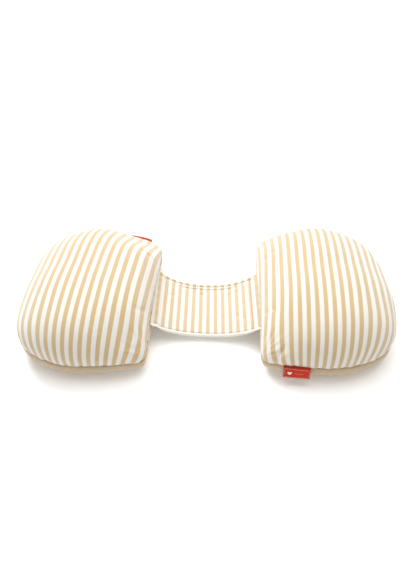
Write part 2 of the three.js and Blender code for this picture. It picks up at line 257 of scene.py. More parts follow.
def build_knit(tree, start, end):
    """Columns of V stitches, with painted shade where the yarns part, over uneven yarn."""
    parts = node(tree, "ShaderNodeSeparateXYZ")
    feed(tree, parts.inputs[0], start.outputs["Cloth"])
    column = calc(tree, "DIVIDE", parts.outputs["X"], start.outputs["Stitch width"])
    row = calc(tree, "DIVIDE", parts.outputs["Y"], start.outputs["Stitch height"])
    across = calc(tree, "ABSOLUTE", calc(tree, "SUBTRACT", calc(tree, "FRACT", column), 0.5))
    lean = calc(tree, "MULTIPLY", across, 1.3)
    leg = calc(tree, "FRACT", calc(tree, "SUBTRACT", row, lean))
    round_leg = calc(tree, "SINE", calc(tree, "MULTIPLY", leg, math.pi))
    round_column = calc(tree, "SINE", calc(tree, "MULTIPLY", across, 2 * math.pi))
    height = calc(tree, "MULTIPLY", round_leg, round_column)
    slub = noise_of(tree, start.outputs["Cloth"], 420, 3)
    wash = noise_of(tree, start.outputs["Cloth"], 14, 2)
    uneven = calc(tree, "ADD", calc(tree, "MULTIPLY", slub, 0.6), calc(tree, "MULTIPLY", wash, 0.4))
    # the first pair paints shade where the yarns part: low relief darkens the colour
    put_out_yarn(tree, start, end, height, uneven, gap_shade=(0.16, 0.88), rough=(-0.12, 0.93))


build_knit(knit, knit_in, knit_out)

# %% Woven cloth group
weave, weave_in, weave_out = new_group(
    "plain_weave",
    [
        ("Cloth", VECTOR, None),
        ("Yarn", FLOAT, 0.0005),
        ("Colour", COLOUR, (0.8, 0.8, 0.8, 1)),
        ("Yarn variation", FLOAT, 0.1),
    ],
    CLOTH_OUTPUTS,
)


def build_weave(tree, start, end):
    """Yarns that pass over and under each other in a chequer, with painted shade where they dip under."""
    parts = node(tree, "ShaderNodeSeparateXYZ")
    feed(tree, parts.inputs[0], start.outputs["Cloth"])
    warp, weft = (
        calc(tree, "MULTIPLY", calc(tree, "DIVIDE", parts.outputs[axis], start.outputs["Yarn"]), math.pi)
        for axis in ("X", "Y")
    )
    over = calc(tree, "MULTIPLY", calc(tree, "SINE", warp), calc(tree, "SINE", weft))
    height = calc(tree, "MULTIPLY_ADD", over, 0.5, 0.5)
    slub = noise_of(tree, start.outputs["Cloth"], 300, 3)
    # the first pair paints shade where the yarns dip under: low relief darkens the colour
    put_out_yarn(tree, start, end, height, slub, gap_shade=(0.12, 0.9), rough=(-0.1, 0.9))


build_weave(weave, weave_in, weave_out)

# %% [markdown]
# The stripes are knitted in, so they follow the cloth, not the room. They are a mask
# over the same cloth map, and the cushions' stripes are wider than the band's because
# the stuffing stretches them.

# %% Stripe group
stripes, stripes_in, stripes_out = new_group(
    "yarn_stripes",
    [
        ("Cloth", VECTOR, None),
        ("Repeat", FLOAT, 0.016),
        ("Phase", FLOAT, 0.0),
        ("Light yarn", COLOUR, (0.9, 0.9, 0.9, 1)),
        ("Dark yarn", COLOUR, (0.5, 0.4, 0.3, 1)),
    ],
    [("Colour", COLOUR)],
)
DARK_SHARE = 0.49  # of each repeat
EDGE_BLUR = 0.035  # of each repeat, where the two yarns meet


def build_stripes(tree, start, end):
    """A soft-edged mask of the dark stripes, 1 on their middle lines."""
    parts = node(tree, "ShaderNodeSeparateXYZ")
    feed(tree, parts.inputs[0], start.outputs["Cloth"])
    waver = noise_of(tree, start.outputs["Cloth"], 30, 2)
    along = calc(tree, "MULTIPLY_ADD", calc(tree, "SUBTRACT", waver, 0.5), 0.0008, parts.outputs["X"])
    count = calc(tree, "ADD", calc(tree, "DIVIDE", along, start.outputs["Repeat"]), start.outputs["Phase"])
    saw = calc(tree, "ABSOLUTE", calc(tree, "SUBTRACT", calc(tree, "FRACT", count), 0.5))
    mask = node(tree, "ShaderNodeMapRange", interpolation_type="SMOOTHSTEP")
    feed(tree, mask.inputs["Value"], saw)
    mask.inputs["From Min"].default_value = 0.5 - DARK_SHARE / 2 - EDGE_BLUR
    mask.inputs["From Max"].default_value = 0.5 - DARK_SHARE / 2 + EDGE_BLUR
    mixed = blend_colour(
        tree, mask.outputs["Result"], start.outputs["Light yarn"], start.outputs["Dark yarn"]
    )
    feed(tree, end.inputs["Colour"], mixed)


build_stripes(stripes, stripes_in, stripes_out)

# %% Cloth materials
CREAM_YARN = (0.865, 0.835, 0.77)
TAN_YARN = (0.66, 0.48, 0.245)
LINING_WHITE = (0.88, 0.84, 0.76)
KNIT_DEPTH, WEAVE_DEPTH = 0.0002, 0.00012  # relief of the yarns
JERSEY_VARIATION = 0.16


def cloth_map(tree):
    """The cloth's own map, in metres."""
    return node(tree, "ShaderNodeUVMap", uv_map=CLOTH_MAP).outputs["UV"]


def place_group(tree, group, **values):
    """A group node with its inputs set or linked; underscores stand for spaces."""
    made = node(tree, "ShaderNodeGroup", node_tree=group)
    for key, value in values.items():
        feed(tree, made.inputs[key.replace("_", " ")], value)
    return made


def wear_cloth(tree, shader, cloth, depth):
    """Joins a cloth group to the shader, with its relief depth metres deep."""
    bump = node(tree, "ShaderNodeBump")
    bump.inputs["Strength"].default_value = 1.0
    bump.inputs["Distance"].default_value = depth
    feed(tree, bump.inputs["Height"], cloth.outputs["Height"])
    feed(tree, shader.inputs["Base Color"], cloth.outputs["Colour"])
    feed(tree, shader.inputs["Roughness"], cloth.outputs["Roughness"])
    feed(tree, shader.inputs["Normal"], bump.outputs["Normal"])
    shader.inputs["Specular IOR Level"].default_value = 0.25
    shader.inputs["Sheen Weight"].default_value = 0.7
    shader.inputs["Sheen Roughness"].default_value = 0.5


def striped_jersey(name, repeat, phase, tan=TAN_YARN):
    """Cotton jersey with knitted stripes."""
    material, tree, shader = new_material(name, CREAM_YARN, 0.9)
    cloth = cloth_map(tree)
    striped = place_group(
        tree,
        stripes,
        Cloth=cloth,
        Repeat=repeat,
        Phase=phase,
        Light_yarn=(*CREAM_YARN, 1),
        Dark_yarn=(*tan, 1),
    )
    knitted = place_group(
        tree, knit, Cloth=cloth, Colour=striped.outputs["Colour"], Yarn_variation=JERSEY_VARIATION
    )
    wear_cloth(tree, shader, knitted, KNIT_DEPTH)
    return material


def plain_jersey(name, colour):
    """Cotton jersey in one colour."""
    material, tree, shader = new_material(name, colour, 0.9)
    knitted = place_group(
        tree, knit, Cloth=cloth_map(tree), Colour=(*colour, 1), Yarn_variation=JERSEY_VARIATION
    )
    wear_cloth(tree, shader, knitted, KNIT_DEPTH)
    return material


def woven_cloth(name, colour, yarn, variation=0.1):
    """Plain woven cloth in one colour."""
    material, tree, shader = new_material(name, colour, 0.85)
    woven = place_group(
        tree, weave, Cloth=cloth_map(tree), Yarn=yarn, Colour=(*colour, 1), Yarn_variation=variation
    )
    wear_cloth(tree, shader, woven, WEAVE_DEPTH)
    return material


base_jersey = plain_jersey("base_jersey", (0.62, 0.47, 0.29))
BAND_REPEAT, BAND_PHASE, BAND_TAN = 0.0143, 0.797, (0.66, 0.51, 0.31)
band_jersey = striped_jersey("band_jersey", BAND_REPEAT, BAND_PHASE, tan=BAND_TAN)
lining_cloth = woven_cloth("lining_cloth", LINING_WHITE, 0.0006)
print("cloth materials:", [m.name for m in bpy.data.materials if m.users or m.use_nodes])

# %% [markdown]
# ## The cushion's outline
#
# A cushion is sewn from two flat panels, so its seam is the line to start from. It is
# D-shaped: a straight edge that faces the band, two tight corners, and one long round
# side. The points are spaced evenly along it, because they become the cloth's mesh.

# %% Seam outline
right_low, right_high = (Vector(corner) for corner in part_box("right_top_panel"))
HALF_SPAN = right_low.x
LOBE_WIDTH = right_high.x - right_low.x
LOBE_DEPTH = right_high.y - right_low.y
SEAM_HEIGHT = 0.042
CROWN = right_high.z - SEAM_HEIGHT
INNER_EDGE = 0.300
CORNER = 0.012
WIDEST_AT = 0.114
CENTRE = np.array([WIDEST_AT, 0.0])
BASE_INSET, BASE_INSET_INNER = 0.036, 0.009
CORNER_INSET = 0.058  # how much further the base draws in under the two corners

SIDE_CELLS = 48  # mesh cells along the straight edge, and along the side opposite
END_CELLS = 42  # along the front, and along the back
LOOP = 2 * (SIDE_CELLS + END_CELLS)


def bezier(points, count=60):
    """Points along a Bezier curve of any degree."""
    points = np.array(points, float)
    share = np.linspace(0, 1, count)[:, None]
    layers = [np.repeat(p[None], count, axis=0) for p in points]
    while len(layers) > 1:
        layers = [a * (1 - share) + b * share for a, b in zip(layers, layers[1:])]
    return layers[0]


def half_outline():
    """The outline's back half, from the straight edge's middle to the outermost point."""
    half, depth, outer = INNER_EDGE / 2, LOBE_DEPTH / 2, LOBE_WIDTH - WIDEST_AT
    turn = (0.55 * CORNER, half + 0.5 * CORNER)
    top = (WIDEST_AT, depth)
    return np.concatenate(
        [
            bezier([(0, 0), (0, half - CORNER)]),
            bezier([(0, half - CORNER), (0, half), turn])[1:],
            bezier([turn, (1.6 * CORNER, half + 1.3 * CORNER), (0.55 * WIDEST_AT, depth), top])[1:],
            bezier([top, (WIDEST_AT + 0.58 * outer, depth), (LOBE_WIDTH, 0.63 * depth), (LOBE_WIDTH, 0)])[1:],
        ]
    )


def distances(points):
    """How far along a line of points each of them lies."""
    steps = np.linalg.norm(np.diff(points, axis=0), axis=1)
    return np.concatenate([[0], np.cumsum(steps)])


def even_loop(points, count, start):
    """A closed loop resampled to count evenly spaced points, from a distance along it."""
    closed = np.vstack([points, points[:1]])
    along = distances(closed)
    wanted = (start + np.arange(count) / count * along[-1]) % along[-1]
    return np.stack([np.interp(wanted, along, closed[:, k]) for k in (0, 1)], axis=1), along[-1]


back = half_outline()
front = (back * [1, -1])[1:-1]
full = np.vstack([back[:1], front, back[::-1][:-1]])
_, seam_length = even_loop(full, LOOP, 0)
SEAM, _ = even_loop(full, LOOP, seam_length * SIDE_CELLS / 2 / LOOP)
print("seam length", round(seam_length, 3), "m in cells of", round(seam_length / LOOP * 1000, 1), "mm")

# %% [markdown]
# ## The cushion's form
#
# Looking down, the mesh is a set of rings that follow the seam, round a square patch of
# cells in the middle. Rings matter at the seam, where the cloth gathers, and the patch
# leaves no pinched pole on the crown. Each point is known by its direction from the
# middle and by how far out it lies, and two curves turn that into a place and a height.

# %% Rings and patch
RINGS_TOP = 13
RINGS_WALL, RINGS_FLAT = 10, 4
PATCH_REACH = 0.58  # the patch's edge, as a share of the way out


def ring_cells(rings, count):
    """The cells between rings of count points each."""
    return [
        (r * count + i, r * count + (i + 1) % count, (r + 1) * count + (i + 1) % count, (r + 1) * count + i)
        for r in range(rings - 1)
        for i in range(count)
    ]


def tube_cells(rings, count):
    """The cells of a tube of rings, closed at both ends."""
    ends = [tuple(reversed(range(count))), tuple(range((rings - 1) * count, rings * count))]
    return ring_cells(rings, count) + ends


def patch_of(ring):
    """A patch of cells inside a ring of points, blended from its four sides."""
    u = np.linspace(0, 1, END_CELLS + 1)[:, None, None]
    v = np.linspace(0, 1, SIDE_CELLS + 1)[None, :, None]
    turn = np.vstack([ring, ring[:1]])
    low = turn[: END_CELLS + 1][:, None]
    far = turn[END_CELLS : END_CELLS + SIDE_CELLS + 1][None]
    high = turn[END_CELLS + SIDE_CELLS : 2 * END_CELLS + SIDE_CELLS + 1][::-1][:, None]
    near = turn[2 * END_CELLS + SIDE_CELLS :][::-1][None]
    corners = (
        (1 - u) * (1 - v) * low[:1] + u * (1 - v) * low[-1:]
        + (1 - u) * v * high[:1] + u * v * high[-1:]
    )
    return (1 - v) * low + v * high + (1 - u) * near + u * far - corners


def panel_grid(reaches):
    """Points in the panel's plane, as offsets from the middle, and the panel's cells."""
    offsets = SEAM - CENTRE
    rings = [offsets * reach for reach in reaches]
    points = [p for ring in rings for p in ring]
    cells = ring_cells(len(rings), LOOP)
    last = (len(rings) - 1) * LOOP
    patch = patch_of(rings[-1])
    number = {}
    for k in range(END_CELLS + 1):
        number[k, 0] = last + k
        number[k, SIDE_CELLS] = last + 2 * END_CELLS + SIDE_CELLS - k
    for k in range(SIDE_CELLS + 1):
        number[END_CELLS, k] = last + END_CELLS + k
        number[0, k] = last + (LOOP - k) % LOOP
    for a in range(1, END_CELLS):
        for b in range(1, SIDE_CELLS):
            number[a, b] = len(points)
            points.append(patch[a, b])
    for a in range(END_CELLS):
        for b in range(SIDE_CELLS):
            cells.append((number[a, b], number[a + 1, b], number[a + 1, b + 1], number[a, b + 1]))
    return np.array(points), cells


angles = np.arctan2(*(SEAM - CENTRE).T[::-1])
order = np.argsort(angles)
RADIUS_AT = (angles[order], np.linalg.norm(SEAM - CENTRE, axis=1)[order])


def seam_radius(offsets):
    """How far off the middle the seam lies, in the direction of each point."""
    return np.interp(np.arctan2(offsets[:, 1], offsets[:, 0]), *RADIUS_AT, period=2 * math.pi)


def outward_share(offsets):
    """How far out a point lies: 0 in the middle and 1 on the seam. Towards the middle the
    D turns into an oval, so that no ridge runs in from the corners."""
    d_share = np.linalg.norm(offsets, axis=1) / seam_radius(offsets)
    wide = np.where(offsets[:, 0] > 0, LOBE_WIDTH - WIDEST_AT, WIDEST_AT) * 1.02
    oval_share = np.hypot(offsets[:, 0] / wide, offsets[:, 1] / (LOBE_DEPTH / 2))
    d_like = np.clip(d_share, 0, 1) ** 1.6
    return np.clip(oval_share * (1 - d_like) + d_share * d_like, 0, 1)


turn = np.linspace(0, math.pi / 2, 400)
crown_out, crown_up = np.cos(turn) ** 0.80, np.sin(turn) ** 0.95
CROWN_REACH = 0.140  # a usual distance from the crown out to the seam
crown_along = distances(np.column_stack([crown_out * CROWN_REACH, crown_up * CROWN]))
CROWN_ARC = crown_along[-1]
crown_share = 1 - crown_along / CROWN_ARC  # 1 on the seam, 0 on the crown


def crown_curve(share):
    """From how far out along the cloth to (how far out in plan, height above the seam)."""
    out = np.interp(share, crown_share[::-1], crown_out[::-1])
    up = np.interp(share, crown_share[::-1], crown_up[::-1]) * CROWN
    return out, up


def crown_height(plan_share):
    """Height above the seam from how far out in plan."""
    return np.interp(plan_share, crown_out[::-1], crown_up[::-1]) * CROWN


CORNER_DIP = 0.34  # how much less the cushion rises near the corners of its straight edge
DIP_REACH = 0.052
SEAM_DIP = 0.0055  # how far the seam sinks everywhere but where the band holds it up
CORNER_SINK = 0.007  # how much lower again the seam is at the two corners
PUFF = 0.0025  # how far the stuffed cloth stands out past the seam, on the outer side


def near_corner(plan, reach):
    """1 at the two corners of the straight edge, fading to 0 over about the reach."""
    off = np.hypot(plan[:, 0], np.abs(plan[:, 1]) - INNER_EDGE / 2)
    return np.exp(-((off / reach) ** 2))


def seam_height(plan):
    """The seam's height, from where it lies in plan."""
    held_up = np.exp(-((plan[:, 0] / 0.03) ** 2) - (plan[:, 1] / 0.105) ** 6)
    return SEAM_HEIGHT - SEAM_DIP * (1 - held_up) - CORNER_SINK * near_corner(plan, 0.024)


SEAM_PULL = 0.014  # how far the thread draws the seam in, as a share of the way out


def drawn_in(height_off_seam, spread):
    """The seam's own drawing-in, which fades away from it."""
    return 1 - SEAM_PULL * np.exp(-((height_off_seam / spread) ** 2))


def crown_points(offsets):
    """The top panel's points in space."""
    share = outward_share(offsets)
    out, up = crown_curve(share)
    reach = np.maximum(np.linalg.norm(offsets, axis=1), 1e-9)
    bearing = np.arctan2(offsets[:, 1], offsets[:, 0])
    edge = seam_radius(offsets)
    outer = np.clip(0.5 + 0.9 * np.cos(bearing), 0, 1)
    puff = PUFF * outer * np.sin(np.pi * np.clip(up / 0.070, 0, 1)) ** 0.8
    plan = CENTRE + offsets / reach[:, None] * (edge * out * drawn_in(up, 0.012) + puff)[:, None]
    up = up * (1 - CORNER_DIP * near_corner(plan, DIP_REACH))
    seam = seam_height(CENTRE + offsets / reach[:, None] * edge[:, None])
    fade = np.clip(1 - up / CROWN, 0, 1)
    return np.column_stack([plan, SEAM_HEIGHT + up - (SEAM_HEIGHT - seam) * fade])


def base_points(offsets, wall_start):
    """The base panel's points: a wall that rolls under, then the flat underside."""
    bearing = np.arctan2(offsets[:, 1], offsets[:, 0])
    edge = seam_radius(offsets)
    share = np.linalg.norm(offsets, axis=1) / edge
    rim = np.column_stack([WIDEST_AT + edge * np.cos(bearing), edge * np.sin(bearing)])
    facing = np.clip(rim[:, 0] / (WIDEST_AT * 0.6), 0, 1)
    facing = facing * facing * (3 - 2 * facing)
    inset = BASE_INSET_INNER * (1 - facing) + BASE_INSET * facing
    inset = inset + CORNER_INSET * near_corner(rim, 0.070)
    flat_share = 1 - inset / edge
    down = np.clip((1 - share) / (1 - wall_start), 0, 1) * math.pi / 2
    roll = 1 - np.cos(down) ** 0.85
    drop = np.sin(down) ** 0.85
    wall = 1 - (1 - flat_share) * roll
    inside = flat_share * share / wall_start
    out = np.where(share >= wall_start, wall, inside)
    plan = offsets * (out / np.maximum(share, 1e-9))[:, None]
    plan *= drawn_in(SEAM_HEIGHT * drop, 0.012)[:, None]
    top = seam_height(rim)
    return np.column_stack([CENTRE + plan, top * (1 - drop)])


WALL_START = 0.80
top_reaches = np.linspace(1, PATCH_REACH, RINGS_TOP)
base_reaches = np.concatenate(
    [np.linspace(1, WALL_START, RINGS_WALL), np.linspace(WALL_START, PATCH_REACH, RINGS_FLAT)[1:]]
)
top_offsets, top_cells = panel_grid(top_reaches)
base_offsets, base_cells = panel_grid(base_reaches)
top_form = crown_points(top_offsets)
base_form = base_points(base_offsets, WALL_START)
print("top panel", len(top_form), "points; base panel", len(base_form), "points")

# %% [markdown]
# ## Laying the stripes on the cloth
#
# A stripe is straight in the flat cloth. On the stuffed cushion it curves, because the
# cloth rises over the crown, and near the seam the cloth is gathered sideways. So each
# point's place in the flat cloth is worked out first: the distance over the surface
# from the cushion's middle line, with a little of the gathering.

# %% Cloth maps of the two panels
GATHER = 0.5  # 0 keeps stripes straight in plan, 1 spreads the cloth like a flat disc


def over_the_crown(points, axis):
    """Distance over the crown from the middle line to each point, along one axis."""
    steps = np.sin(np.linspace(0, math.pi / 2, 60))
    start = np.array(points[:, :2])
    start[:, axis] = CENTRE[axis]
    path = start[:, None] + (points[:, None, :2] - start[:, None]) * steps[None, :, None]
    offsets = path.reshape(-1, 2) - CENTRE
    plan_share = np.clip(np.linalg.norm(offsets, axis=1) / seam_radius(offsets), 0, 1)
    height = crown_height(plan_share).reshape(len(points), -1)
    along = path[:, :, axis]
    lengths = np.hypot(np.diff(along, axis=1), np.diff(height, axis=1)).sum(axis=1)
    return lengths * np.sign(points[:, axis] - CENTRE[axis])


def spread_flat(offsets, share, arc):
    """Each point's place if the panel opened like a disc from its middle."""
    reach = np.maximum(np.linalg.norm(offsets, axis=1), 1e-9)
    return offsets / reach[:, None] * (share * arc)[:, None]


top_share = outward_share(top_offsets)
disc = spread_flat(top_offsets, top_share, seam_radius(top_offsets) * CROWN_ARC / CROWN_REACH)
surface = np.column_stack([over_the_crown(top_form, 0), over_the_crown(top_form, 1)])
GRAIN_LEAN = 0.048  # the panels are cut a little off the stripes' direction
top_cloth = surface * (1 - GATHER) + disc * GATHER
INNER_EASE, OUTER_EASE = 0.65, 0.33  # how much wider the stripes lie near the two sides


def eased(across):
    """The place across the cloth, with the stripes spread wider near the two sides."""
    steps = np.linspace(across.min(), across.max(), 400)
    off_edge = steps - across.min()
    wider = 1 + INNER_EASE * np.exp(-((off_edge / 0.048) ** 2))
    wider += OUTER_EASE * np.clip((off_edge - 0.158) / 0.11, 0, None) ** 2
    total = np.cumsum(1 / wider) * (steps[1] - steps[0])
    return np.interp(across, steps, total - np.interp(0, steps, total))


top_cloth[:, 0] = eased(top_cloth[:, 0])
top_cloth[:, 0] -= GRAIN_LEAN * top_cloth[:, 1]
base_cloth = base_offsets * 1.1
print("cloth over the crown:", np.ptp(top_cloth, axis=0).round(3), "m")

# %% [markdown]
# ## Stuffing the cushion
#
# A drawn shape looks like plastic, because nothing in it pulls. So the two panels are
# joined along the seam and blown up a little as cloth. The cloth next to the seam is
# cut slightly longer than the seam, as a sewn cushion's is, and so it gathers there.
# The seam and the part that lies on the floor are held, and no point may move far. The
# broad part of the crown's movement is then taken out again, because the drawn form
# already has the right height, and what stays is the gathering and the unevenness.

# %% Stuffing by simulation
MOVE_CAP = 0.007
SWELL_FRAMES = 20
GATHER_REACH = 0.050  # how far from the seam the cloth has slack
SLACK = 0.035
FLAT_REACH = 0.15  # a usual distance from the base's middle out to the seam

seam_count = LOOP
closed_cells = [tuple(cell) for cell in top_cells]
for cell in base_cells:
    moved = [i if i < seam_count else i + len(top_form) - seam_count for i in cell]
    closed_cells.append(tuple(reversed(moved)))


def lumpy(points, seed, amount=0.0016, size=0.075):
    """The uneven filling under the cloth: slow swells, none where the cushion lies flat."""
    shifted = points.copy()
    for k, p in enumerate(points):
        lift = min(1.0, max(0.0, (p[2] - SEAM_HEIGHT) / 0.03))
        if lift:
            place = Vector(p) / size + Vector((seed * 7.1, seed * 3.3, seed))
            shifted[k, 2] += amount * lift * noise.noise(place) * 2
    return shifted


def as_sewn(seed):
    """The cushion's points before it is stuffed: top panel first, then the base's own."""
    return np.vstack([lumpy(top_form, seed), base_form[seam_count:]])


def stuffed(name, points):
    """The points after the cloth has been blown up and has settled."""
    sewn = mesh_object(name, points, closed_cells, base_jersey)
    mesh = sewn.data
    height = points[:, 2]
    off_seam = np.concatenate(
        [
            (1 - top_share) * CROWN_ARC,
            FLAT_REACH - np.linalg.norm(base_offsets, axis=1)[seam_count:],
        ]
    )
    held = sewn.vertex_groups.new(name="held")
    loose = sewn.vertex_groups.new(name="loose")
    for k in range(len(points)):
        on_floor = height[k] < 0.0015
        if k < seam_count or on_floor:
            held.add([k], 1.0, "REPLACE")
        elif off_seam[k] < GATHER_REACH:
            loose.add([k], float(1 - off_seam[k] / GATHER_REACH), "REPLACE")
    cloth = sewn.modifiers.new("stuffing", "CLOTH")
    cloth.settings.quality = 6
    cloth.settings.mass = 0.25
    cloth.settings.tension_stiffness = 18
    cloth.settings.compression_stiffness = 12
    cloth.settings.shear_stiffness = 6
    cloth.settings.bending_stiffness = 0.35
    cloth.settings.vertex_group_mass = "held"
    cloth.settings.vertex_group_shrink = "loose"
    cloth.settings.shrink_min = 0.0
    cloth.settings.shrink_max = -SLACK
    cloth.settings.use_pressure = True
    cloth.settings.uniform_pressure_force = 3.0
    cloth.settings.effector_weights.gravity = 0
    cloth.collision_settings.use_collision = False
    cloth.point_cache.frame_start = 1
    cloth.point_cache.frame_end = SWELL_FRAMES
    scene = bpy.context.scene
    for step in range(1, SWELL_FRAMES + 1):
        scene.frame_set(step)
    settled = sewn.evaluated_get(bpy.context.evaluated_depsgraph_get()).to_mesh()
    after = np.array([v.co[:] for v in settled.vertices])
    bpy.data.objects.remove(sewn)
    bpy.data.meshes.remove(mesh)
    scene.frame_set(1)
    shift = after - points
    away = np.clip(off_seam / GATHER_REACH, 0, 1) * (height > SEAM_HEIGHT * 0.5)
    x, y, z = ((points - points.mean(axis=0)) / FLAT_REACH).T
    powers = [p for p in np.ndindex(4, 4, 4) if sum(p) < 4]  # up to the third power
    broad = np.column_stack([x**i * y**j * z**k for i, j, k in powers])
    crown = away > 0
    fit = np.linalg.lstsq(broad[crown], shift[crown], rcond=None)[0]
    shift = shift - (broad @ fit) * away[:, None]
    far = np.linalg.norm(shift, axis=1)
    print(name, "moved up to", round(far.max() * 1000, 1), "mm, on average", round(far.mean() * 1000, 2))
    return points + shift * np.minimum(1, MOVE_CAP / np.maximum(far, 1e-9))[:, None]


SIDES = {"right": 1, "left": -1}
forms = {}
for side, seed in (("right", 1), ("left", 2)):
    sewn_points = as_sewn(seed)
    forms[side] = stuffed(f"{side}_sewn", sewn_points)

# %% [markdown]
# ## Panels with a seam
#
# The simulated mesh is split into its top panel and its base, and each is smoothed by
# one subdivision. Then comes what is finer than the simulation's cells. The thread
# draws the seam into a groove, small puckers run out from it, and each panel's edge
# turns inwards as a sewn edge does. Last, the cloth gets a real thickness.

# %% Panel helpers
CLOTH_THICK = 0.0012
GROOVE = 0.0018
PUCKER = 0.0011
TUCK = 0.0016


def freeze(obj):
    """Applies the object's modifiers to its mesh."""
    evaluated = obj.evaluated_get(bpy.context.evaluated_depsgraph_get())
    mesh = bpy.data.meshes.new_from_object(evaluated)
    old = obj.data
    obj.modifiers.clear()
    obj.data = mesh
    bpy.data.meshes.remove(old)
    mesh.name = obj.name


def lay_cloth_map(obj, cloth):
    """Writes each point's place in the flat cloth, in metres, as the cloth's UV map."""
    layer = obj.data.uv_layers.new(name=CLOTH_MAP)
    corners = np.empty(len(obj.data.loops), int)
    obj.data.loops.foreach_get("vertex_index", corners)
    layer.data.foreach_set("uv", np.asarray(cloth, float)[corners].ravel())


def points_of(mesh):
    """A mesh's points as an array."""
    flat = np.empty(len(mesh.vertices) * 3)
    mesh.vertices.foreach_get("co", flat)
    return flat.reshape(-1, 3)


def rim_of(mesh):
    """The points on the mesh's open edge, in order round it."""
    uses = {}
    for face in mesh.polygons:
        for key in face.edge_keys:
            uses[key] = uses.get(key, 0) + 1
    linked = {}
    for (a, b), count in uses.items():
        if count == 1:
            linked.setdefault(a, []).append(b)
            linked.setdefault(b, []).append(a)
    start = min(linked)
    loop = [start, linked[start][0]]
    while loop[-1] != start:
        before, here = loop[-2:]
        loop.append(next(n for n in linked[here] if n != before))
    return loop[:-1]


def pucker_wave(along, seed):
    """Uneven gathers along the seam, from -1 to 1."""
    wave = np.zeros_like(along)
    rng = np.random.default_rng(seed)
    for length, weight in ((0.0085, 0.35), (0.013, 0.6), (0.021, 0.8), (0.034, 0.6), (0.09, 0.5)):
        wave += weight * np.sin(2 * math.pi * along / length + rng.uniform(0, 6.28))
    return np.clip(wave / 1.6, -1.2, 1.2)


def fold_edges(work, edges, step):
    """Folds on a strip of cloth along open edges, each point moved by step(point). The
    strip keeps the cloth map of the edge it grows from. Returns the strip's far edges."""
    cloth = work.loops.layers.uv[CLOTH_MAP]
    ends = {v for e in edges for v in e.verts}
    flat = {tuple(v.co): v.link_loops[0][cloth].uv.copy() for v in ends}
    out = bmesh.ops.extrude_edge_only(work, edges=edges)["geom"]
    far = [g for g in out if isinstance(g, bmesh.types.BMVert)]
    for face in [g for g in out if isinstance(g, bmesh.types.BMFace)]:
        for loop in face.loops:
            loop[cloth].uv = flat[tuple(loop.vert.co)]
    for vert in far:
        vert.co += step(vert.co)
    moved = set(far)
    return [g for g in out if isinstance(g, bmesh.types.BMEdge) and set(g.verts) <= moved]


def gather_at_seam(obj, seed, tuck_up):
    """Groove, puckers and the turned-in edge, on one open panel."""
    mesh = obj.data
    place = points_of(mesh)
    normals = np.array([v.normal[:] for v in mesh.vertices])
    rim = rim_of(mesh)
    edge = place[rim]
    along = distances(edge)
    apart = np.linalg.norm(place[:, None] - edge[None], axis=2)
    nearest = apart.argmin(axis=1)
    off_seam = apart[np.arange(len(place)), nearest]
    wave = pucker_wave(along, seed)[nearest]
    inward = np.column_stack([CENTRE - place[:, :2], np.zeros(len(place))])
    inward /= np.maximum(np.linalg.norm(inward, axis=1), 1e-9)[:, None]
    groove = GROOVE * np.exp(-((off_seam / 0.0032) ** 2))
    depth = PUCKER * wave * np.exp(-((off_seam / 0.011) ** 1.5))
    depth = np.where(place[:, 2] > 0.004, depth, 0)
    place = place + inward * groove[:, None] + normals * depth[:, None]
    place[rim, 2] += 0.0004 * wave[rim]
    mesh.vertices.foreach_set("co", place.ravel())
    work = bmesh.new()
    work.from_mesh(mesh)

    def turned_in(point):
        pull = Vector((CENTRE[0] - point.x, CENTRE[1] - point.y, 0)).normalized()
        return pull * TUCK + Vector((0, 0, tuck_up))

    fold_edges(work, [e for e in work.edges if e.is_boundary], turned_in)
    bmesh.ops.recalc_face_normals(work, faces=work.faces)
    work.to_mesh(mesh)
    work.free()


def thicken(obj, thickness=CLOTH_THICK):
    """Gives an open panel its thickness, inwards, and freezes it."""
    solid = obj.modifiers.new("thickness", "SOLIDIFY")
    solid.thickness = thickness
    solid.offset = -1
    solid.use_even_offset = True
    solid.thickness_clamp = 1.0
    freeze(obj)
    obj.data.polygons.foreach_set("use_smooth", [True] * len(obj.data.polygons))


def subdivide(obj):
    """Subdivides and smooths the object's mesh once."""
    finer = obj.modifiers.new("finer", "SUBSURF")
    finer.levels = finer.render_levels = 1
    finer.boundary_smooth = "ALL"
    freeze(obj)


def dress(piece, body, node_name):
    """Hangs a piece on its body and hides the CAD node that it stands for."""
    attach(piece, body)
    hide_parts(node_name)


CUSHION_TURN = math.radians(-1.4)  # each cushion is sewn on a little askew


def side_matrix(side, askew=True):
    """From the outline's frame to one side of the band. The left cushion is the right
    one turned half round."""
    turn = Matrix.Rotation(0 if SIDES[side] > 0 else math.pi, 4, "Z")
    skew = Matrix.Rotation(CUSHION_TURN if askew else 0, 4, "Z")
    return turn @ Matrix.Translation((HALF_SPAN, 0, 0)) @ skew


def to_place(obj, side, askew=True):
    """Moves a piece from the outline's frame to its side."""
    obj.data.transform(side_matrix(side, askew))
    obj.data.update()


# %% [markdown]
# Nobody stuffs two cushions alike. Both are a little fuller at the outer front, slacker
# at the outermost point and higher at the back, and the left one has a low shoulder
# beside the band. These are pushes that fade away smoothly, so no edge shows.

# %% Uneven filling
FRONT_FULL, SIDE_SLACK, BACK_LIFT = 0.048, 0.040, 0.006
LOW_SHOULDER = {"right": 0.0, "left": 0.016}
SHOULDER_AT, SHOULDER_REACH = (-0.074, 0.125), 0.048
FULL_AT, SLACK_AT = (-50, 16), (8, 24)  # direction and spread of each, in degrees


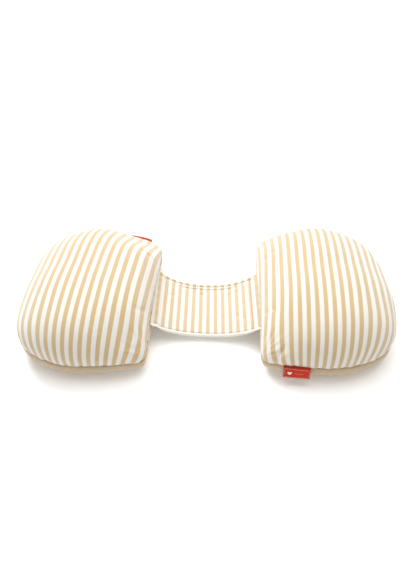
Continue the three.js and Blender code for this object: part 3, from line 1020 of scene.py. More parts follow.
def filled(obj, side):
    """Pushes the piece, still in the outline's frame, out to where the filling lies."""
    place = points_of(obj.data)
    x, y = place[:, 0] - WIDEST_AT, place[:, 1] * SIDES[side]
    bearing = np.degrees(np.arctan2(y, x))
    outer_front, outermost = (
        np.exp(-(((bearing - at) / spread) ** 2)) for at, spread in (FULL_AT, SLACK_AT)
    )
    share = np.clip(np.hypot(x, y) / 0.14, 0, 1) ** 2
    fuller = 1 + (FRONT_FULL * outer_front - SIDE_SLACK * outermost) * share
    above = np.clip((place[:, 2] - SEAM_HEIGHT) / CROWN, 0, 1)
    lift = BACK_LIFT * np.clip(y / 0.10, 0, 1) * np.clip((x + 0.05) / 0.07, 0, 1)
    off_shoulder = np.hypot(x - SHOULDER_AT[0], y - SHOULDER_AT[1])
    lift = lift - LOW_SHOULDER[side] * np.exp(-((off_shoulder / SHOULDER_REACH) ** 2))
    height = place[:, 2] + lift * above**0.5
    place = np.column_stack([WIDEST_AT + x * fuller, y * fuller * SIDES[side], height])
    obj.data.vertices.foreach_set("co", place.ravel())
    obj.data.update()


# %% [markdown]
# A few creases are this cushion's own: a pleat beside the label where the seam was
# eased in, a pinch near a corner, and pulls where the band tugs at the edge. Each is a
# short soft valley. Smaller pulls fan out from the two tight corners.

# %% Creases
CREASES = {
    "right": [
        ((0.0210, -0.1640), (0.0390, -0.1480), 0.0030, 0.0030),
        ((0.0250, -0.1685), (0.0450, -0.1570), -0.0022, 0.0040),
        ((0.0060, -0.1500), (0.0160, -0.1280), 0.0016, 0.0035),
        ((0.0040, 0.0500), (0.0420, 0.0640), 0.0014, 0.0040),
        ((0.0040, -0.0760), (0.0330, -0.0900), 0.0014, 0.0042),
    ],
    "left": [
        ((0.0260, 0.1200), (0.0330, 0.1560), 0.0018, 0.0038),
        ((0.0080, 0.1380), (0.0200, 0.1500), 0.0018, 0.0030),
        ((0.0040, -0.0660), (0.0400, -0.0700), 0.0022, 0.0045),
        ((0.0030, 0.0700), (0.0260, 0.0880), 0.0014, 0.0042),
        ((0.0760, 0.1560), (0.0800, 0.1700), 0.0016, 0.0030),
    ],
}


def dent(x, y, start, end, depth, width):
    """A soft valley from start to end, deepest halfway along; a negative depth is a fold."""
    (ax, ay), (bx, by) = start, end
    length = math.hypot(bx - ax, by - ay)
    along = ((x - ax) * (bx - ax) + (y - ay) * (by - ay)) / length**2
    off = ((x - ax) * (by - ay) - (y - ay) * (bx - ax)) / length
    middle = np.exp(-(((along - 0.5) / 0.42) ** 4))
    return -depth * middle * np.exp(-((off / width) ** 2))


def corner_pulls(x, y, seed):
    """Small ridges that fan out from the two corners."""
    height = np.zeros_like(x)
    for k, corner in enumerate((-1, 1)):
        bearing = np.arctan2(y - corner * INNER_EDGE / 2, x)
        off = np.hypot(x, y - corner * INNER_EDGE / 2)
        ridges = np.sin(bearing * 17 + seed + k) + 0.6 * np.sin(bearing * 29 + 2 * seed)
        height += 0.0006 * ridges * np.exp(-(((off - 0.022) / 0.018) ** 2))
    return height


def crease_panel(panel, side):
    """Moves the panel's points along their normals by its creases and pulls."""
    mesh = panel.data
    place = points_of(mesh)
    normals = np.array([v.normal[:] for v in mesh.vertices])
    x, y = place[:, 0], place[:, 1]
    depth = corner_pulls(x, y, SIDES[side] * 1.7)
    for crease in CREASES[side]:
        depth = depth + dent(x, y, *crease)
    depth = depth * np.clip((place[:, 2] - SEAM_HEIGHT + 0.012) / 0.008, 0, 1)
    mesh.vertices.foreach_set("co", (place + normals * depth[:, None]).ravel())
    mesh.update()


# %% Top panels
STRIPE_REPEAT = {"right": 0.0144, "left": 0.0154}
STRIPE_PHASE = 0.22
for side, form in forms.items():
    jersey = striped_jersey(f"{side}_jersey", STRIPE_REPEAT[side], STRIPE_PHASE)
    panel = mesh_object(f"{side}_cushion_top", form[: len(top_form)], top_cells, jersey)
    lay_cloth_map(panel, top_cloth)
    subdivide(panel)
    filled(panel, side)
    crease_panel(panel, side)
    gather_at_seam(panel, seed=SIDES[side] + 5, tuck_up=0.0001)
    thicken(panel)
    to_place(panel, side)
    dress(panel, f"{side}_cushion", f"{side}_top_panel")
    print(panel.name, len(panel.data.polygons), "faces")

# %% [markdown]
# The base panel has the zip. Its slot is cut out of the flat underside, and the cloth
# at the slot's edge is folded up and then out, as a sewn placket is, so that the teeth
# lie clear of the floor.

# %% Base panels
ZIP_AT = 0.140
SLOT_HALF_X = 0.008
PLACKET_HEIGHT, PLACKET_LAP = 0.0064, 0.006
SLOT_HALF_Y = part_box("right_zip_tape_inner")[1][1] - 0.004


def cut_placket(obj):
    """Cuts the zip's slot and folds its edges up and out."""
    work = bmesh.new()
    work.from_mesh(obj.data)
    low = (ZIP_AT - SLOT_HALF_X, -SLOT_HALF_Y)
    high = (ZIP_AT + SLOT_HALF_X, SLOT_HALF_Y)

    def near(face, axis, value, margin=0.012):
        x, y, z = face.calc_center_median()
        inside = low[0] - margin < x < high[0] + margin and low[1] - margin < y < high[1] + margin
        return inside and z < 0.004 and abs((x, y)[axis] - value) < margin

    for axis, value in ((0, low[0]), (0, high[0]), (1, low[1]), (1, high[1])):
        faces = [f for f in work.faces if near(f, axis, value)]
        parts = faces + list({e for f in faces for e in f.edges} | {v for f in faces for v in f.verts})
        at, normal = [0.0, 0.0, 0.0], [0.0, 0.0, 0.0]
        at[axis], normal[axis] = value, 1.0
        bmesh.ops.bisect_plane(work, geom=parts, plane_co=at, plane_no=normal, dist=1e-6)
    hole = []
    for face in work.faces:
        x, y, z = face.calc_center_median()
        if low[0] < x < high[0] and low[1] < y < high[1] and z < 0.004:
            hole.append(face)
    rim_edges = {e for f in hole for e in f.edges if sum(g in hole for g in e.link_faces) == 1}
    bmesh.ops.delete(work, geom=hole, context="FACES_ONLY")
    loose = [e for e in work.edges if not e.link_faces]
    bmesh.ops.delete(work, geom=loose, context="EDGES")
    edges = [e for e in work.edges if e.is_valid and e in rim_edges and e.is_boundary]

    def outwards(point):
        x = 1 if point.x > ZIP_AT + SLOT_HALF_X - 1e-5 else -1 if point.x < ZIP_AT - SLOT_HALF_X + 1e-5 else 0
        y = 1 if point.y > SLOT_HALF_Y - 1e-5 else -1 if point.y < -SLOT_HALF_Y + 1e-5 else 0
        return Vector((x, y, 0)) * PLACKET_LAP

    for _ in range(3):
        edges = fold_edges(work, edges, lambda p: Vector((0, 0, PLACKET_HEIGHT / 3)))
    fold_edges(work, edges, outwards)
    bmesh.ops.recalc_face_normals(work, faces=work.faces)
    work.to_mesh(obj.data)
    work.free()
    print(obj.name, "slot of", len(hole), "cells")


for side, form in forms.items():
    points = np.vstack([form[:seam_count], form[len(top_form) :]])
    points[:, 2] = np.maximum(points[:, 2], 0)
    cells = [tuple(reversed(cell)) for cell in base_cells]
    panel = mesh_object(f"{side}_cushion_base", points, cells, base_jersey)
    lay_cloth_map(panel, base_cloth)
    subdivide(panel)
    gather_at_seam(panel, seed=SIDES[side] + 9, tuck_up=-0.0001)
    filled(panel, side)
    panel.data.transform(Matrix.Rotation(CUSHION_TURN, 4, "Z"))
    cut_placket(panel)
    thicken(panel)
    to_place(panel, side, askew=False)
    dress(panel, f"{side}_cushion", f"{side}_base_panel")

# %% [markdown]
# ## Inside the cover
#
# A cushion like this is a cover over a liner bag, and the bag holds the loose fibre.
# Nobody sees them with the zip closed, but the parts exist, so they are made from the
# cushion's own form, drawn in a little more each time, with a hollow over the zip.

# %% Liner and core
LINER_INSET, CORE_INSET = 0.0042, 0.0066
LINER_THICK = 0.0008
HOLLOW_HALF_X, HOLLOW_BELOW, HOLLOW_HEIGHT = 0.030, 0.03, 0.0125  # the room over the zip
liner_cloth = woven_cloth("liner_cloth", (0.86, 0.86, 0.83), 0.0007)
fibre_white = woven_cloth("fibre_white", (0.9, 0.9, 0.88), 0.0011, variation=0.3)


def drawn_form(form, inset):
    """The closed form moved inwards along its normals, hollowed over the zip."""
    shell = mesh_object("shell", form, closed_cells, base_jersey)
    normals = np.array([v.normal[:] for v in shell.data.vertices])
    bpy.data.objects.remove(shell)
    points = form - normals * inset
    off_zip = np.abs(points[:, :2] - [ZIP_AT, 0])
    over_zip = (off_zip[:, 0] < HOLLOW_HALF_X) & (off_zip[:, 1] < SLOT_HALF_Y + 0.010)
    low = over_zip & (points[:, 2] < HOLLOW_BELOW)
    points[low, 2] = np.maximum(points[low, 2], HOLLOW_HEIGHT + inset / 2)
    return points


for side, form in forms.items():
    bag = drawn_form(form, LINER_INSET)
    halves = {
        "upper": (bag[: len(top_form)], [tuple(c) for c in top_cells]),
        "lower": (
            np.vstack([bag[:seam_count], bag[len(top_form) :]]) - [0, 0, 0.0003],
            [tuple(reversed(c)) for c in base_cells],
        ),
    }
    for half, (points, cells) in halves.items():
        liner = mesh_object(f"{side}_liner_{half}_bag", points, cells, liner_cloth)
        lay_cloth_map(liner, points[:, :2])
        filled(liner, side)
        thicken(liner, LINER_THICK)
        to_place(liner, side)
        dress(liner, f"{side}_cushion", f"{side}_liner_{half}")
    core_points = drawn_form(form, CORE_INSET)
    core = mesh_object(f"{side}_fibre_filling", core_points, closed_cells, fibre_white)
    lay_cloth_map(core, core_points[:, :2])
    filled(core, side)
    to_place(core, side)
    dress(core, f"{side}_cushion", f"{side}_fibre_core")
print("liner and filling made for", list(forms))

# %% [markdown]
# ## The band
#
# The band is a quilted strip: striped jersey on top, a white lining underneath that
# wraps the front edge, and wadding between. Rows of stitches hold the layers, and they
# cut grooves that leave a soft roll along each edge. It is drawn as a cross-section of
# marks, each a share of the width plus an offset, and swept along the sag.

# %% Band form
PAD_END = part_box("band_top")[1][0]
BAND_SAG = 0.030
BAND_WAIST, BAND_END_WIDTH = 0.141, 0.150
BAND_FORWARD, BAND_SKEW = 0.007, 0.005
ROLL = 0.0031  # radius of the edge rolls
BACK_GROOVE, FRONT_GROOVE, RUCK = 0.0085, 0.0056, 0.0172  # distances from the two edges


def band_z(x):
    """Height of the band's middle surface."""
    share = (x / HALF_SPAN) ** 2
    return SEAM_HEIGHT - BAND_SAG * (1 - 0.62 * share - 0.38 * share**2)


def band_width(x):
    return BAND_WAIST + (BAND_END_WIDTH - BAND_WAIST) * (x / HALF_SPAN) ** 2


def band_front(x):
    """Where the band's front edge lies."""
    return -BAND_FORWARD - BAND_SKEW * x / HALF_SPAN - band_width(x) / 2


BAND_CREASE_GAIN = 1.7
BAND_CREASES = [
    ((-0.020, 0.028), (0.004, 0.040), 0.0016, 0.0020),
    ((0.030, 0.022), (0.078, 0.034), 0.0011, 0.0022),
    ((-0.012, 0.033), (-0.002, 0.022), 0.0008, 0.0018),
    ((0.052, -0.030), (0.078, -0.052), 0.0010, 0.0030),
    ((-0.080, 0.010), (-0.052, 0.030), 0.0008, 0.0035),
    ((0.060, -0.012), (0.086, -0.004), 0.0008, 0.0028),
]


def roll_height(inside):
    """Height of a round edge at a distance in from it."""
    near = np.minimum(inside, ROLL)
    return np.sqrt(np.clip(2 * ROLL * near - near**2, 0, None))


def pad_top(x, from_front):
    """Height of the band's top above its middle surface."""
    from_back = band_width(x) - from_front
    inside = np.minimum(from_front, from_back)
    height = roll_height(inside)
    height = height + 0.0008 * (1 - np.exp(-((np.maximum(inside - 0.008, 0) / 0.012) ** 2)))
    ripple = 1 + 0.35 * np.sin(x * 2 * math.pi / 0.0072) + 0.2 * np.sin(x * 2 * math.pi / 0.0117)
    height = height - 0.0032 * ripple * np.exp(-(((from_back - BACK_GROOVE) / 0.0019) ** 2))
    height = height - 0.0017 * np.exp(-(((from_front - FRONT_GROOVE) / 0.0013) ** 2))
    rucked = 1 / (1 + np.exp((np.abs(x - 0.002) - 0.056) / 0.004))
    height = height - 0.0027 * rucked * ripple * np.exp(-(((from_back - RUCK) / 0.0018) ** 2))
    y = band_front(x) + from_front
    for crease in BAND_CREASES:
        height = height + BAND_CREASE_GAIN * dent(x, y, *crease)
    return height


def pad_under(x, from_front):
    """Depth of the band's underside below its middle surface."""
    from_back = band_width(x) - from_front
    inside = np.minimum(from_front, from_back)
    height = roll_height(inside) + 0.0004 * (1 - np.exp(-((np.maximum(inside - 0.008, 0) / 0.012) ** 2)))
    for edge, groove in ((from_back, BACK_GROOVE), (from_front, FRONT_GROOVE)):
        height = height - 0.0011 * np.exp(-(((edge - groove) / 0.0015) ** 2))
    return height


turns = np.radians(np.arange(80, 5, -10))
roll_marks = ROLL * (1 - np.cos(turns))  # from the top of a roll out to its edge
middle_marks = [(share, 0.023 * (1 - 2 * share)) for share in np.linspace(0, 1, 34)]
fine = np.arange(0.0222, ROLL, -0.0005)
TOP_MARKS = (
    [(0, d) for d in np.arange(FRONT_GROOVE, 0.0225, 0.0006)]
    + middle_marks
    + [(1, -d) for d in fine]
    + [(1, -d) for d in roll_marks]
    + [(1, 0)]
)
FRONT_MARKS = [(0, d) for d in np.arange(FRONT_GROOVE - 0.0002, ROLL, -0.0004)] + [
    (0, d) for d in roll_marks
]
UNDER_MARKS = (
    [(0, 0)]
    + [(0, d) for d in roll_marks[::-1]]
    + [(0, d) for d in np.arange(ROLL, 0.022, 0.0012)]
    + middle_marks
    + [(1, -d) for d in np.arange(0.022, ROLL, -0.0012)]
    + [(1, -d) for d in roll_marks]
)


def band_points(columns, marks, height_of, side=1.0):
    """Points of a band surface: one row of marks for each column."""
    share = np.array([m[0] for m in marks])[None]
    offset = np.array([m[1] for m in marks])[None]
    x = columns[:, None]
    from_front = share * band_width(x) + offset
    x = np.broadcast_to(x, from_front.shape)
    z = band_z(x) + side * height_of(x, from_front)
    return np.stack([x, band_front(x) + from_front, z], axis=2)


def grid_cells(rows, columns):
    """Cells of a grid of points, row by row."""
    return [
        (a * columns + b, a * columns + b + 1, (a + 1) * columns + b + 1, (a + 1) * columns + b)
        for a in range(rows - 1)
        for b in range(columns - 1)
    ]


def arc_length(x):
    """Distance along the sagging band from its middle."""
    steps = np.linspace(0, 1, 200)
    slope = 2 * BAND_SAG * np.abs(x)[..., None] * steps / HALF_SPAN**2
    return x * np.sqrt(1 + slope**2).mean(axis=-1)


def band_cloth(points):
    """The cloth map of a band surface: along the band and across it."""
    across = np.linalg.norm(np.diff(points, axis=1), axis=2)
    across = np.concatenate([np.zeros((len(points), 1)), np.cumsum(across, axis=1)], axis=1)
    return np.stack([arc_length(points[:, :, 0]), across], axis=2).reshape(-1, 2)


def swell(points, amount, size, seed):
    """Slow unevenness along z."""
    moved = points.copy()
    for index in np.ndindex(points.shape[:2]):
        place = Vector(points[index]) / size + Vector((seed, 2 * seed, 0))
        moved[index][2] += amount * noise.noise(place)
    return moved


columns = np.linspace(-PAD_END, PAD_END, 150)
top_surface = swell(band_points(columns, TOP_MARKS, pad_top), 0.0007, 0.022, 3)
front_wrap = band_points(columns, FRONT_MARKS, pad_top)
under_surface = band_points(columns, UNDER_MARKS, pad_under, side=-1.0)
lining_surface = np.concatenate([front_wrap, under_surface], axis=1)
print("band cloth across the top:", round(float(band_cloth(top_surface)[:, 1].max()), 3), "m")


def band_piece(name, surface, material, node_name, thickness=0.0009):
    """One cloth layer of the band, with its thickness towards the wadding."""
    rows, count = surface.shape[:2]
    piece = mesh_object(name, surface.reshape(-1, 3), grid_cells(rows, count), material)
    lay_cloth_map(piece, band_cloth(surface))
    face_outwards(piece, float(surface[:, :, 1].mean()))
    thicken(piece, thickness)
    dress(piece, "band", node_name)


def face_outwards(piece, middle_y):
    """Turns the faces, if need be, so that they face away from the band's middle."""
    score = 0.0
    for face in piece.data.polygons:
        middle = Vector((face.center.x, middle_y, float(band_z(face.center.x))))
        score += face.normal.dot(face.center - middle) * face.area
    if score < 0:
        piece.data.flip_normals()


band_piece("band_striped_top", top_surface, band_jersey, "band_top")
band_piece("band_white_lining", lining_surface, lining_cloth, "band_lining")

# %% Band wadding
WAD_INSET = 0.0016  # the cloth's thickness and a little more
wad_middle = [(share, 0.004 * (1 - 2 * share)) for share in np.linspace(0, 1, 40)]
wad_marks = [(0, WAD_INSET)] + wad_middle + [(1, -WAD_INSET)]
wad_columns = np.linspace(-PAD_END + 0.001, PAD_END - 0.001, 60)


def inside_of(height_of):
    """The height of the wadding's face, just inside the cloth's."""
    return lambda x, d: np.maximum(height_of(x, d) - WAD_INSET, 0.0002)


upper = band_points(wad_columns, wad_marks, inside_of(pad_top))
lower = band_points(wad_columns, wad_marks, inside_of(pad_under), side=-1.0)
loops = np.concatenate([upper, lower[:, ::-1]], axis=1)
count = loops.shape[1]
wad_cells = ring_cells(len(loops), count)
wad_cells.append(tuple(range(count)))
wad_cells.append(tuple(reversed(range((len(loops) - 1) * count, len(loops) * count))))
wadding = mesh_object("band_filling", loops.reshape(-1, 3), wad_cells, fibre_white)
lay_cloth_map(wadding, loops.reshape(-1, 3)[:, :2])
dress(wadding, "band", "band_wadding")
print("wadding:", len(wadding.data.polygons), "faces")

# %% [markdown]
# ## The band's ends
#
# Past the wadding the band is only cloth, and that is where it bends. Each end is one
# tube of cloth that thins out and runs into the cushion's seam. The left one is pushed
# up into a fold. It crosses the hinge but is hung on no body.

# %% Band ends
TAB_FROM, TAB_TO = PAD_END + 0.0001, HALF_SPAN + 0.0028
FOLD_RISE = {"left": 0.0030, "right": 0.0008}


def tab_surface(side, marks, height_of, sign):
    """A surface of one end piece: the band's section, thinning out towards the seam."""
    reach = np.linspace(TAB_FROM, TAB_TO, 26)
    surface = band_points(SIDES[side] * reach, marks, height_of, side=sign)
    out = ((reach - TAB_FROM) / (TAB_TO - TAB_FROM))[:, None]
    middle = band_z(surface[:, :, 0])
    thin = 1 - 0.90 * out**0.8
    fold = FOLD_RISE[side] * np.exp(-(((out - 0.35) / 0.22) ** 2))
    valley = 0.0012 * np.exp(-((out / 0.10) ** 2))
    wave = 0.0005 * np.sin(surface[:, :, 1] * 2 * math.pi / 0.023) * np.sin(math.pi * out)
    surface[:, :, 2] = middle + (surface[:, :, 2] - middle) * thin + fold - valley * sign + wave
    return surface


for side in SIDES:
    over = tab_surface(side, TOP_MARKS, pad_top, 1.0)
    wrap = tab_surface(side, FRONT_MARKS, pad_top, 1.0)
    under = tab_surface(side, UNDER_MARKS[1:], pad_under, -1.0)
    section = np.concatenate([over[:, ::-1], wrap, under], axis=1)
    rows, count = section.shape[:2]
    cells = ring_cells(rows, count)
    end_cells = [tuple(range(count)), tuple(reversed(range((rows - 1) * count, rows * count)))]
    tab = mesh_object(f"band_end_{side}", section.reshape(-1, 3), cells + end_cells, band_jersey)
    tab.data.materials.append(lining_cloth)
    for index, face in enumerate(tab.data.polygons):
        face.material_index = int(index < len(cells) and index % count >= over.shape[1])
    lay_cloth_map(tab, band_cloth(section))
    shape = bmesh.new()
    shape.from_mesh(tab.data)
    bmesh.ops.recalc_face_normals(shape, faces=shape.faces)
    shape.to_mesh(tab.data)
    shape.free()
    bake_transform(tab)
    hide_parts(f"band_tab_{side}")
print("band ends reach", round(TAB_TO, 4), "m out, into the seams")

# %% [markdown]
# ## Stitches
#
# Stitches this size can be real geometry. One short curved bead of thread, repeated
# along a line, dips into the cloth at both ends and shows a gap between stitches.

# %% Stitch rows
STITCH, STITCH_GAP, THREAD = 0.0028, 0.0010, 0.00034
BEAD_RINGS, BEAD_SIDES = 6, 6
STITCH_LIFT = 0.0002  # off the cloth
thread_cream = woven_cloth("thread_cream", (0.84, 0.76, 0.60), 0.0003)


def stitch_bead(start, end, up, thread=THREAD):
    """Points and faces of one stitch between two points."""
    along = (end - start).normalized()
    side = along.cross(up).normalized()
    points = []
    for r in range(BEAD_RINGS):
        t = r / (BEAD_RINGS - 1)
        bow = math.sin(math.pi * t)
        middle = start.lerp(end, t) + up * thread * (1.1 * bow - 0.75)
        radius = thread * (0.45 + 0.55 * bow**0.5)
        for k in range(BEAD_SIDES):
            a = 2 * math.pi * k / BEAD_SIDES
            points.append(middle + side * radius * math.cos(a) + up * radius * math.sin(a))
    return points, tube_cells(BEAD_RINGS, BEAD_SIDES)


def stitch_row(path, ups, stitch=STITCH, gap=STITCH_GAP, thread=THREAD):
    """A row of stitches along a line of points, with the cloth's normal at each."""
    along = distances(path)
    count = int((along[-1] + gap) // (stitch + gap))
    points, faces = [], []
    for n in range(count):
        a, b = n * (stitch + gap), n * (stitch + gap) + stitch
        start, end, up = (
            Vector([float(np.interp(at, along, data[:, k])) for k in range(3)])
            for at, data in ((a, path), (b, path), ((a + b) / 2, ups))
        )
        bead, bead_faces = stitch_bead(start, end, up.normalized(), thread)
        faces += [tuple(i + len(points) for i in f) for f in bead_faces]
        points += bead
    return points, faces


def stitch_object(name, rows, body, material=None):
    """One object of several stitch rows, riding on a body."""
    points, faces = [], []
    for row_points, row_faces in rows:
        faces += [tuple(i + len(points) for i in f) for f in row_faces]
        points += row_points
    piece = mesh_object(name, points, faces, material or thread_cream)
    lay_cloth_map(piece, [(p.x, p.y) for p in points])
    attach(piece, body)
    return piece


def row_on_band(path, side):
    """A stitch row over a line of points on the band's top, or under it with side -1."""
    tilt = -2 * BAND_SAG * path[:, 0] / HALF_SPAN**2
    ups = np.column_stack([tilt, np.zeros_like(tilt), np.ones_like(tilt)]) * side
    ups /= np.linalg.norm(ups, axis=1)[:, None]
    return stitch_row(path + ups * STITCH_LIFT, ups)


def band_row(mark, height_of=pad_top, side=1.0, first=-PAD_END + 0.001, last=PAD_END - 0.001):
    """A stitch row along the band at one mark."""
    return row_on_band(band_points(np.linspace(first, last, 120), [mark], height_of, side)[:, 0], side)


def end_row(x, height_of=pad_top, side=1.0):
    """A stitch row across the band near one end."""
    marks = [(share, 0.010 * (1 - 2 * share)) for share in np.linspace(0, 1, 60)]
    return row_on_band(band_points(np.array([x]), marks, height_of, side)[0], side)


END_ROW, SECOND_END_ROW = 0.0835, 0.0800  # distances of the rows across the band from its middle
RUCK_FROM, RUCK_TO = -0.055, 0.058
rows = [band_row((1, -BACK_GROOVE)), band_row((0, FRONT_GROOVE))]
rows.append(band_row((1, -RUCK), first=RUCK_FROM, last=RUCK_TO))
rows += [end_row(x) for x in (-END_ROW, END_ROW, SECOND_END_ROW)]
rows += [band_row((1, -BACK_GROOVE), pad_under, -1.0), band_row((0, FRONT_GROOVE), pad_under, -1.0)]
rows += [end_row(x, pad_under, -1.0) for x in (-END_ROW, END_ROW)]
band_stitches = stitch_object("band_stitches", rows, "band")
print("band stitches:", len(band_stitches.data.polygons) // 32)

# %% [markdown]
# ## Labels
#
# A woven label is a strip of red satin ribbon, folded double and caught in the seam by
# its two ends. The front one has flopped down, and the back one sticks out. The ribbon
# is one strip that follows a path out, round the fold and back. On it sit a plain heart
# and a border in cream thread, as raised stitches.

# %% Label ribbon
LABEL_FROM = {"right": 0.037, "left": 0.031}
LABEL_WIDTH, LABEL_DROP = 0.045, 0.020
RIBBON_THICK, RIBBON_APART = 0.00035, 0.00095
LABEL_LEAN = {"right": (-80, -80), "left": (2, 50)}  # degrees, at its two ends
ROOT_INSIDE = 0.0036  # how far inside the seam the label's ends are caught
FLAT_START, BEND_LENGTH = 0.0048, 0.0036  # it leaves the seam flat, then bends
PATH_STEP = 0.0004
LABEL_FACE = RIBBON_APART / 2 + RIBBON_THICK / 2  # from its middle surface to its face
red_satin = woven_cloth("red_satin", (0.56, 0.04, 0.014), 0.00035, variation=0.25)
red_shader = red_satin.node_tree.nodes["Principled BSDF"]
red_shader.inputs["Specular IOR Level"].default_value = 0.3
red_shader.inputs["Sheen Weight"].default_value = 0.0
red_shader.inputs["Anisotropic"].default_value = 0.4

front_edge = SEAM[SEAM[:, 1] < -INNER_EDGE / 2 + CORNER]
front_edge = front_edge[np.argsort(front_edge[:, 0])]


def label_frame(side, u):
    """Where the label's root is at a distance u along it, with its outward direction."""
    first = LABEL_FROM[side]
    ends = [Vector((x, float(np.interp(x, *front_edge.T)), 0)) for x in (first, first + LABEL_WIDTH)]
    along = (ends[1] - ends[0]).normalized()
    outward = Vector((along.y, -along.x, 0))
    root = ends[0] + along * u
    seam_z = float(seam_height(np.array([[root.x, root.y]]))[0])
    return root - outward * ROOT_INSIDE + Vector((0, 0, seam_z)), outward


def label_point(side, u, v, lift=0.0):
    """A point on the label's middle surface, v along the ribbon from its root, lifted off
    it towards the face that shows."""
    root, outward = label_frame(side, u)
    lean = math.radians(np.interp(u, (0, LABEL_WIDTH), LABEL_LEAN[side]))
    curl = 0.05 * math.sin(u / LABEL_WIDTH * math.pi * 1.3 + 0.4)
    point, at, angle = Vector(root), 0.0, 0.0
    while at < v:
        part = min(PATH_STEP, v - at)
        angle = (lean + curl) * min(1.0, max(0.0, (at - FLAT_START) / BEND_LENGTH))
        point += (outward * math.cos(angle) + Vector((0, 0, math.sin(angle)))) * part
        at += part
    up = Vector((0, 0, math.cos(angle))) - outward * math.sin(angle)
    return point + up * lift, up


RIBBON_COLUMNS = 26
LABEL_REACH = LABEL_DROP + 0.0040


def ribbon(side):
    """The folded ribbon: out on the showing face, round the fold and back under it."""
    rows = []
    half = RIBBON_APART / 2
    for v in np.linspace(0, LABEL_REACH - half, 24):
        rows.append((v, half))
    for turn in np.radians(np.arange(70, -71, -20)):
        rows.append((LABEL_REACH - half + half * math.cos(turn), half * math.sin(turn)))
    for v in np.linspace(LABEL_REACH - half, 0, 24):
        rows.append((v, -half))
    us = np.linspace(0, LABEL_WIDTH, RIBBON_COLUMNS)
    points = [label_point(side, u, v, lift)[0] for v, lift in rows for u in us]
    piece = mesh_object(f"{side}_label_ribbon", points, grid_cells(len(rows), RIBBON_COLUMNS), red_satin)
    steps = distances(np.array(rows))
    lay_cloth_map(piece, [(u, w) for w in steps for u in us])
    solid = piece.modifiers.new("thickness", "SOLIDIFY")
    solid.thickness = RIBBON_THICK
    solid.offset = 0
    freeze(piece)
    return piece, float(steps[-1])


def heart_patch(side, middle, size):
    """A satin-stitched heart: rings of points from its middle to its outline."""
    outline = []
    for t in np.linspace(0, 2 * math.pi, 40, endpoint=False):
        x = 16 * math.sin(t) ** 3
        y = 13 * math.cos(t) - 5 * math.cos(2 * t) - 2 * math.cos(3 * t) - math.cos(4 * t)
        outline.append((x / 17, y / 17))
    points, rings = [], 5
    for r in range(rings + 1):
        share = 1 - r / (rings + 0.35)
        rise = 0.00012 + 0.00028 * (1 - share**3) if r else -0.00015
        for x, y in outline:
            u = middle[0] + x * share * size / 2
            v = middle[1] - SIDES[side] * y * share * size / 2
            points.append(label_point(side, u, v, LABEL_FACE + rise)[0])
    count = len(outline)
    return points, ring_cells(rings + 1, count) + [tuple(range(rings * count, (rings + 1) * count))]


def label_line(side, start, end, stitch=0.0022, gap=0.0003):
    """A fine line of stitches on the label between two (u, v) places."""
    places = np.linspace(start, end, 24)
    spots = [label_point(side, float(u), float(v), LABEL_FACE + 0.0001) for u, v in places]
    path = np.array([p[0][:] for p in spots])
    ups = np.array([p[1][:] for p in spots])
    return stitch_row(path, ups, stitch, gap, thread=0.00022)


thread_white = woven_cloth("thread_white", (0.86, 0.80, 0.74), 0.0003)
BORDER = 0.0016  # the border line's distance from the label's edges
BORDER_ENDS = (BORDER, LABEL_WIDTH - BORDER)
BORDER_FROM, BORDER_TO = 0.0066, LABEL_REACH - BORDER
HEART_FROM_END, HEART_SIZE = 0.011, 0.0085
DASHES_OFF_HEART, DASHES_PAST_MIDDLE = 0.008, 0.014
DASH_AND_GAP = (0.0026, 0.0012)
for side in SIDES:
    piece, path_length = ribbon(side)
    body = f"{side}_cushion"
    corners = [(u, BORDER_FROM) for u in BORDER_ENDS] + [(u, BORDER_TO) for u in BORDER_ENDS[::-1]]
    rows = [label_line(side, a, b) for a, b in zip(corners, corners[1:] + corners[:1])]
    middle_u, middle_v = LABEL_WIDTH / 2, (BORDER_FROM + BORDER_TO) / 2
    heart_u = middle_u - SIDES[side] * (middle_u - HEART_FROM_END)
    rows.append(heart_patch(side, (heart_u, middle_v), HEART_SIZE))
    dashes = sorted((heart_u + SIDES[side] * DASHES_OFF_HEART, middle_u + SIDES[side] * DASHES_PAST_MIDDLE))
    rows.append(label_line(side, (dashes[0], middle_v), (dashes[1], middle_v), *DASH_AND_GAP))
    motif = stitch_object(f"{side}_label_stitching", rows, body, thread_white)
    dress(piece, body, f"{side}_woven_label")
    for part in (piece, motif):
        to_place(part, side)
    print(f"{side} label ribbon:", round(path_length * 1000), "mm long, laid flat")

# %% [markdown]
# ## The zip
#
# The zip is a nylon coil zip, so each row of teeth is one wire wound in a coil and sewn
# to its tape. The tapes, the stops, the slider and the pull keep the shapes they have
# in CAD. The metal ones get rounded edges, because a sharp edge never catches light.

# %% Zip materials
nylon, nylon_tree, nylon_shader = new_material("zip_nylon_tape", (0.80, 0.70, 0.53), 0.7)
object_place = node(nylon_tree, "ShaderNodeTexCoord").outputs["Object"]
tape_weave = place_group(
    nylon_tree, weave, Cloth=object_place, Yarn=0.0007, Colour=(0.78, 0.67, 0.49, 1), Yarn_variation=0.12
)
wear_cloth(nylon_tree, nylon_shader, tape_weave, 0.0002)

coil_nylon, coil_tree, coil_shader = new_material("zip_coil_nylon", (0.80, 0.70, 0.53), 0.35)
coil_place = node(coil_tree, "ShaderNodeTexCoord").outputs["Object"]
coil_tone = calc(coil_tree, "MULTIPLY_ADD", noise_of(coil_tree, coil_place, 260, 2), 0.25, 0.28)
feed(coil_tree, coil_shader.inputs["Roughness"], coil_tone)
coil_tint = blend_colour(
    coil_tree, noise_of(coil_tree, coil_place, 90, 2), (0.78, 0.67, 0.50, 1), (0.86, 0.77, 0.60, 1)
)
feed(coil_tree, coil_shader.inputs["Base Color"], coil_tint)

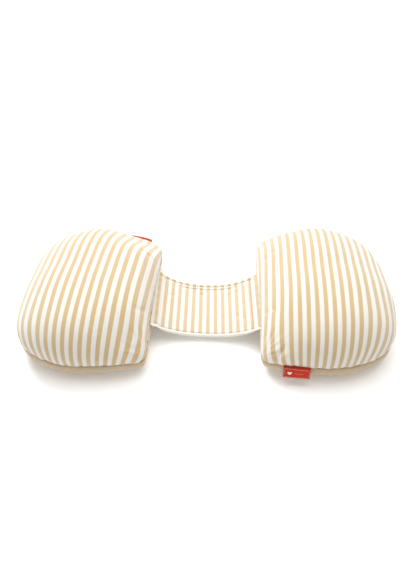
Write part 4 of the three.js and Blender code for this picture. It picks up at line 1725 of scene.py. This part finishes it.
enamel, enamel_tree, enamel_shader = new_material("zip_enamel", (0.78, 0.70, 0.55), 0.35)
enamel_shader.inputs["Coat Weight"].default_value = 0.3
enamel_place = node(enamel_tree, "ShaderNodeTexCoord").outputs["Object"]
worn = node(enamel_tree, "ShaderNodeMapRange", interpolation_type="SMOOTHSTEP")
feed(enamel_tree, worn.inputs["Value"], noise_of(enamel_tree, enamel_place, 700, 4))
worn.inputs["From Min"].default_value = 0.60
worn.inputs["From Max"].default_value = 0.72
rubbed = blend_colour(enamel_tree, worn.outputs["Result"], (0.78, 0.70, 0.55, 1), (0.62, 0.60, 0.56, 1))
feed(enamel_tree, enamel_shader.inputs["Base Color"], rubbed)
bare_metal = calc(enamel_tree, "MULTIPLY", worn.outputs["Result"], 0.8)
feed(enamel_tree, enamel_shader.inputs["Metallic"], bare_metal)
feed(
    enamel_tree,
    enamel_shader.inputs["Roughness"],
    calc(enamel_tree, "MULTIPLY_ADD", noise_of(enamel_tree, enamel_place, 1500, 2), 0.2, 0.25),
)

# %% Zip pieces
COIL_PITCH, COIL_WIRE = 0.0016, 0.00034
COIL_SEGMENTS, WIRE_SIDES = 10, 5
METAL_ROUND = 0.00018  # how far the metal parts' edges are rounded


def coil_mesh(low, high):
    """A wire wound into a flattened coil that fills a long box from low to high."""
    middle = (Vector(low) + Vector(high)) / 2
    half_x = (high[0] - low[0]) / 2 - COIL_WIRE
    half_z = (high[2] - low[2]) / 2 - COIL_WIRE
    turns = int((high[1] - low[1] - 2 * COIL_WIRE) / COIL_PITCH)
    points = []
    steps = turns * COIL_SEGMENTS
    for k in range(steps + 1):
        a = 2 * math.pi * k / COIL_SEGMENTS
        y = low[1] + COIL_WIRE + COIL_PITCH * k / COIL_SEGMENTS
        out = Vector((math.cos(a) * half_x, 0, math.sin(a) * half_z))
        spoke = Vector((math.cos(a), 0, math.sin(a)))
        for side in range(WIRE_SIDES):
            b = 2 * math.pi * side / WIRE_SIDES
            round_wire = spoke * math.cos(b) * COIL_WIRE + Vector((0, math.sin(b) * COIL_WIRE, 0))
            points.append(Vector((middle.x, y, middle.z)) + out + round_wire)
    return points, tube_cells(steps + 1, WIRE_SIDES)


def rounded_copy(name, node_name, radius):
    """A copy of a CAD node's mesh with its flat faces joined up and its edges rounded."""
    copy = bpy.data.objects.new(name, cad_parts[node_name].data.copy())
    copy.data.name = name
    bpy.context.scene.collection.objects.link(copy)
    shape = bmesh.new()
    shape.from_mesh(copy.data)
    bmesh.ops.remove_doubles(shape, verts=shape.verts, dist=1e-6)
    bmesh.ops.dissolve_limit(shape, angle_limit=0.02, verts=shape.verts, edges=shape.edges)
    sharp = [e for e in shape.edges if e.calc_face_angle(0) > 0.5]
    bmesh.ops.bevel(
        shape, geom=sharp, offset=radius, segments=2, profile=0.5, affect="EDGES", clamp_overlap=True
    )
    shape.to_mesh(copy.data)
    shape.free()
    copy.data.materials.clear()
    copy.data.materials.append(enamel)
    copy.data.polygons.foreach_set("material_index", [0] * len(copy.data.polygons))
    return copy


for side in SIDES:
    for row in ("inner", "outer"):
        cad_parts[f"{side}_zip_tape_{row}"].data.materials.clear()
        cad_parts[f"{side}_zip_tape_{row}"].data.materials.append(nylon)
        points, faces = coil_mesh(*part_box(f"{side}_zip_coil_{row}"))
        coil = mesh_object(f"{side}_zip_teeth_{row}", points, faces, coil_nylon)
        dress(coil, f"{side}_cushion", f"{side}_zip_coil_{row}")
    for part in ("zip_top_stop_inner", "zip_top_stop_outer", "zip_end_stop", "zip_slider", "zip_pull"):
        metal = rounded_copy(f"{side}_{part}_rounded", f"{side}_{part}", METAL_ROUND)
        body = f"{side}_{part}" if part in ("zip_slider", "zip_pull") else f"{side}_cushion"
        dress(metal, body, f"{side}_{part}")
print("zips dressed:", list(SIDES))
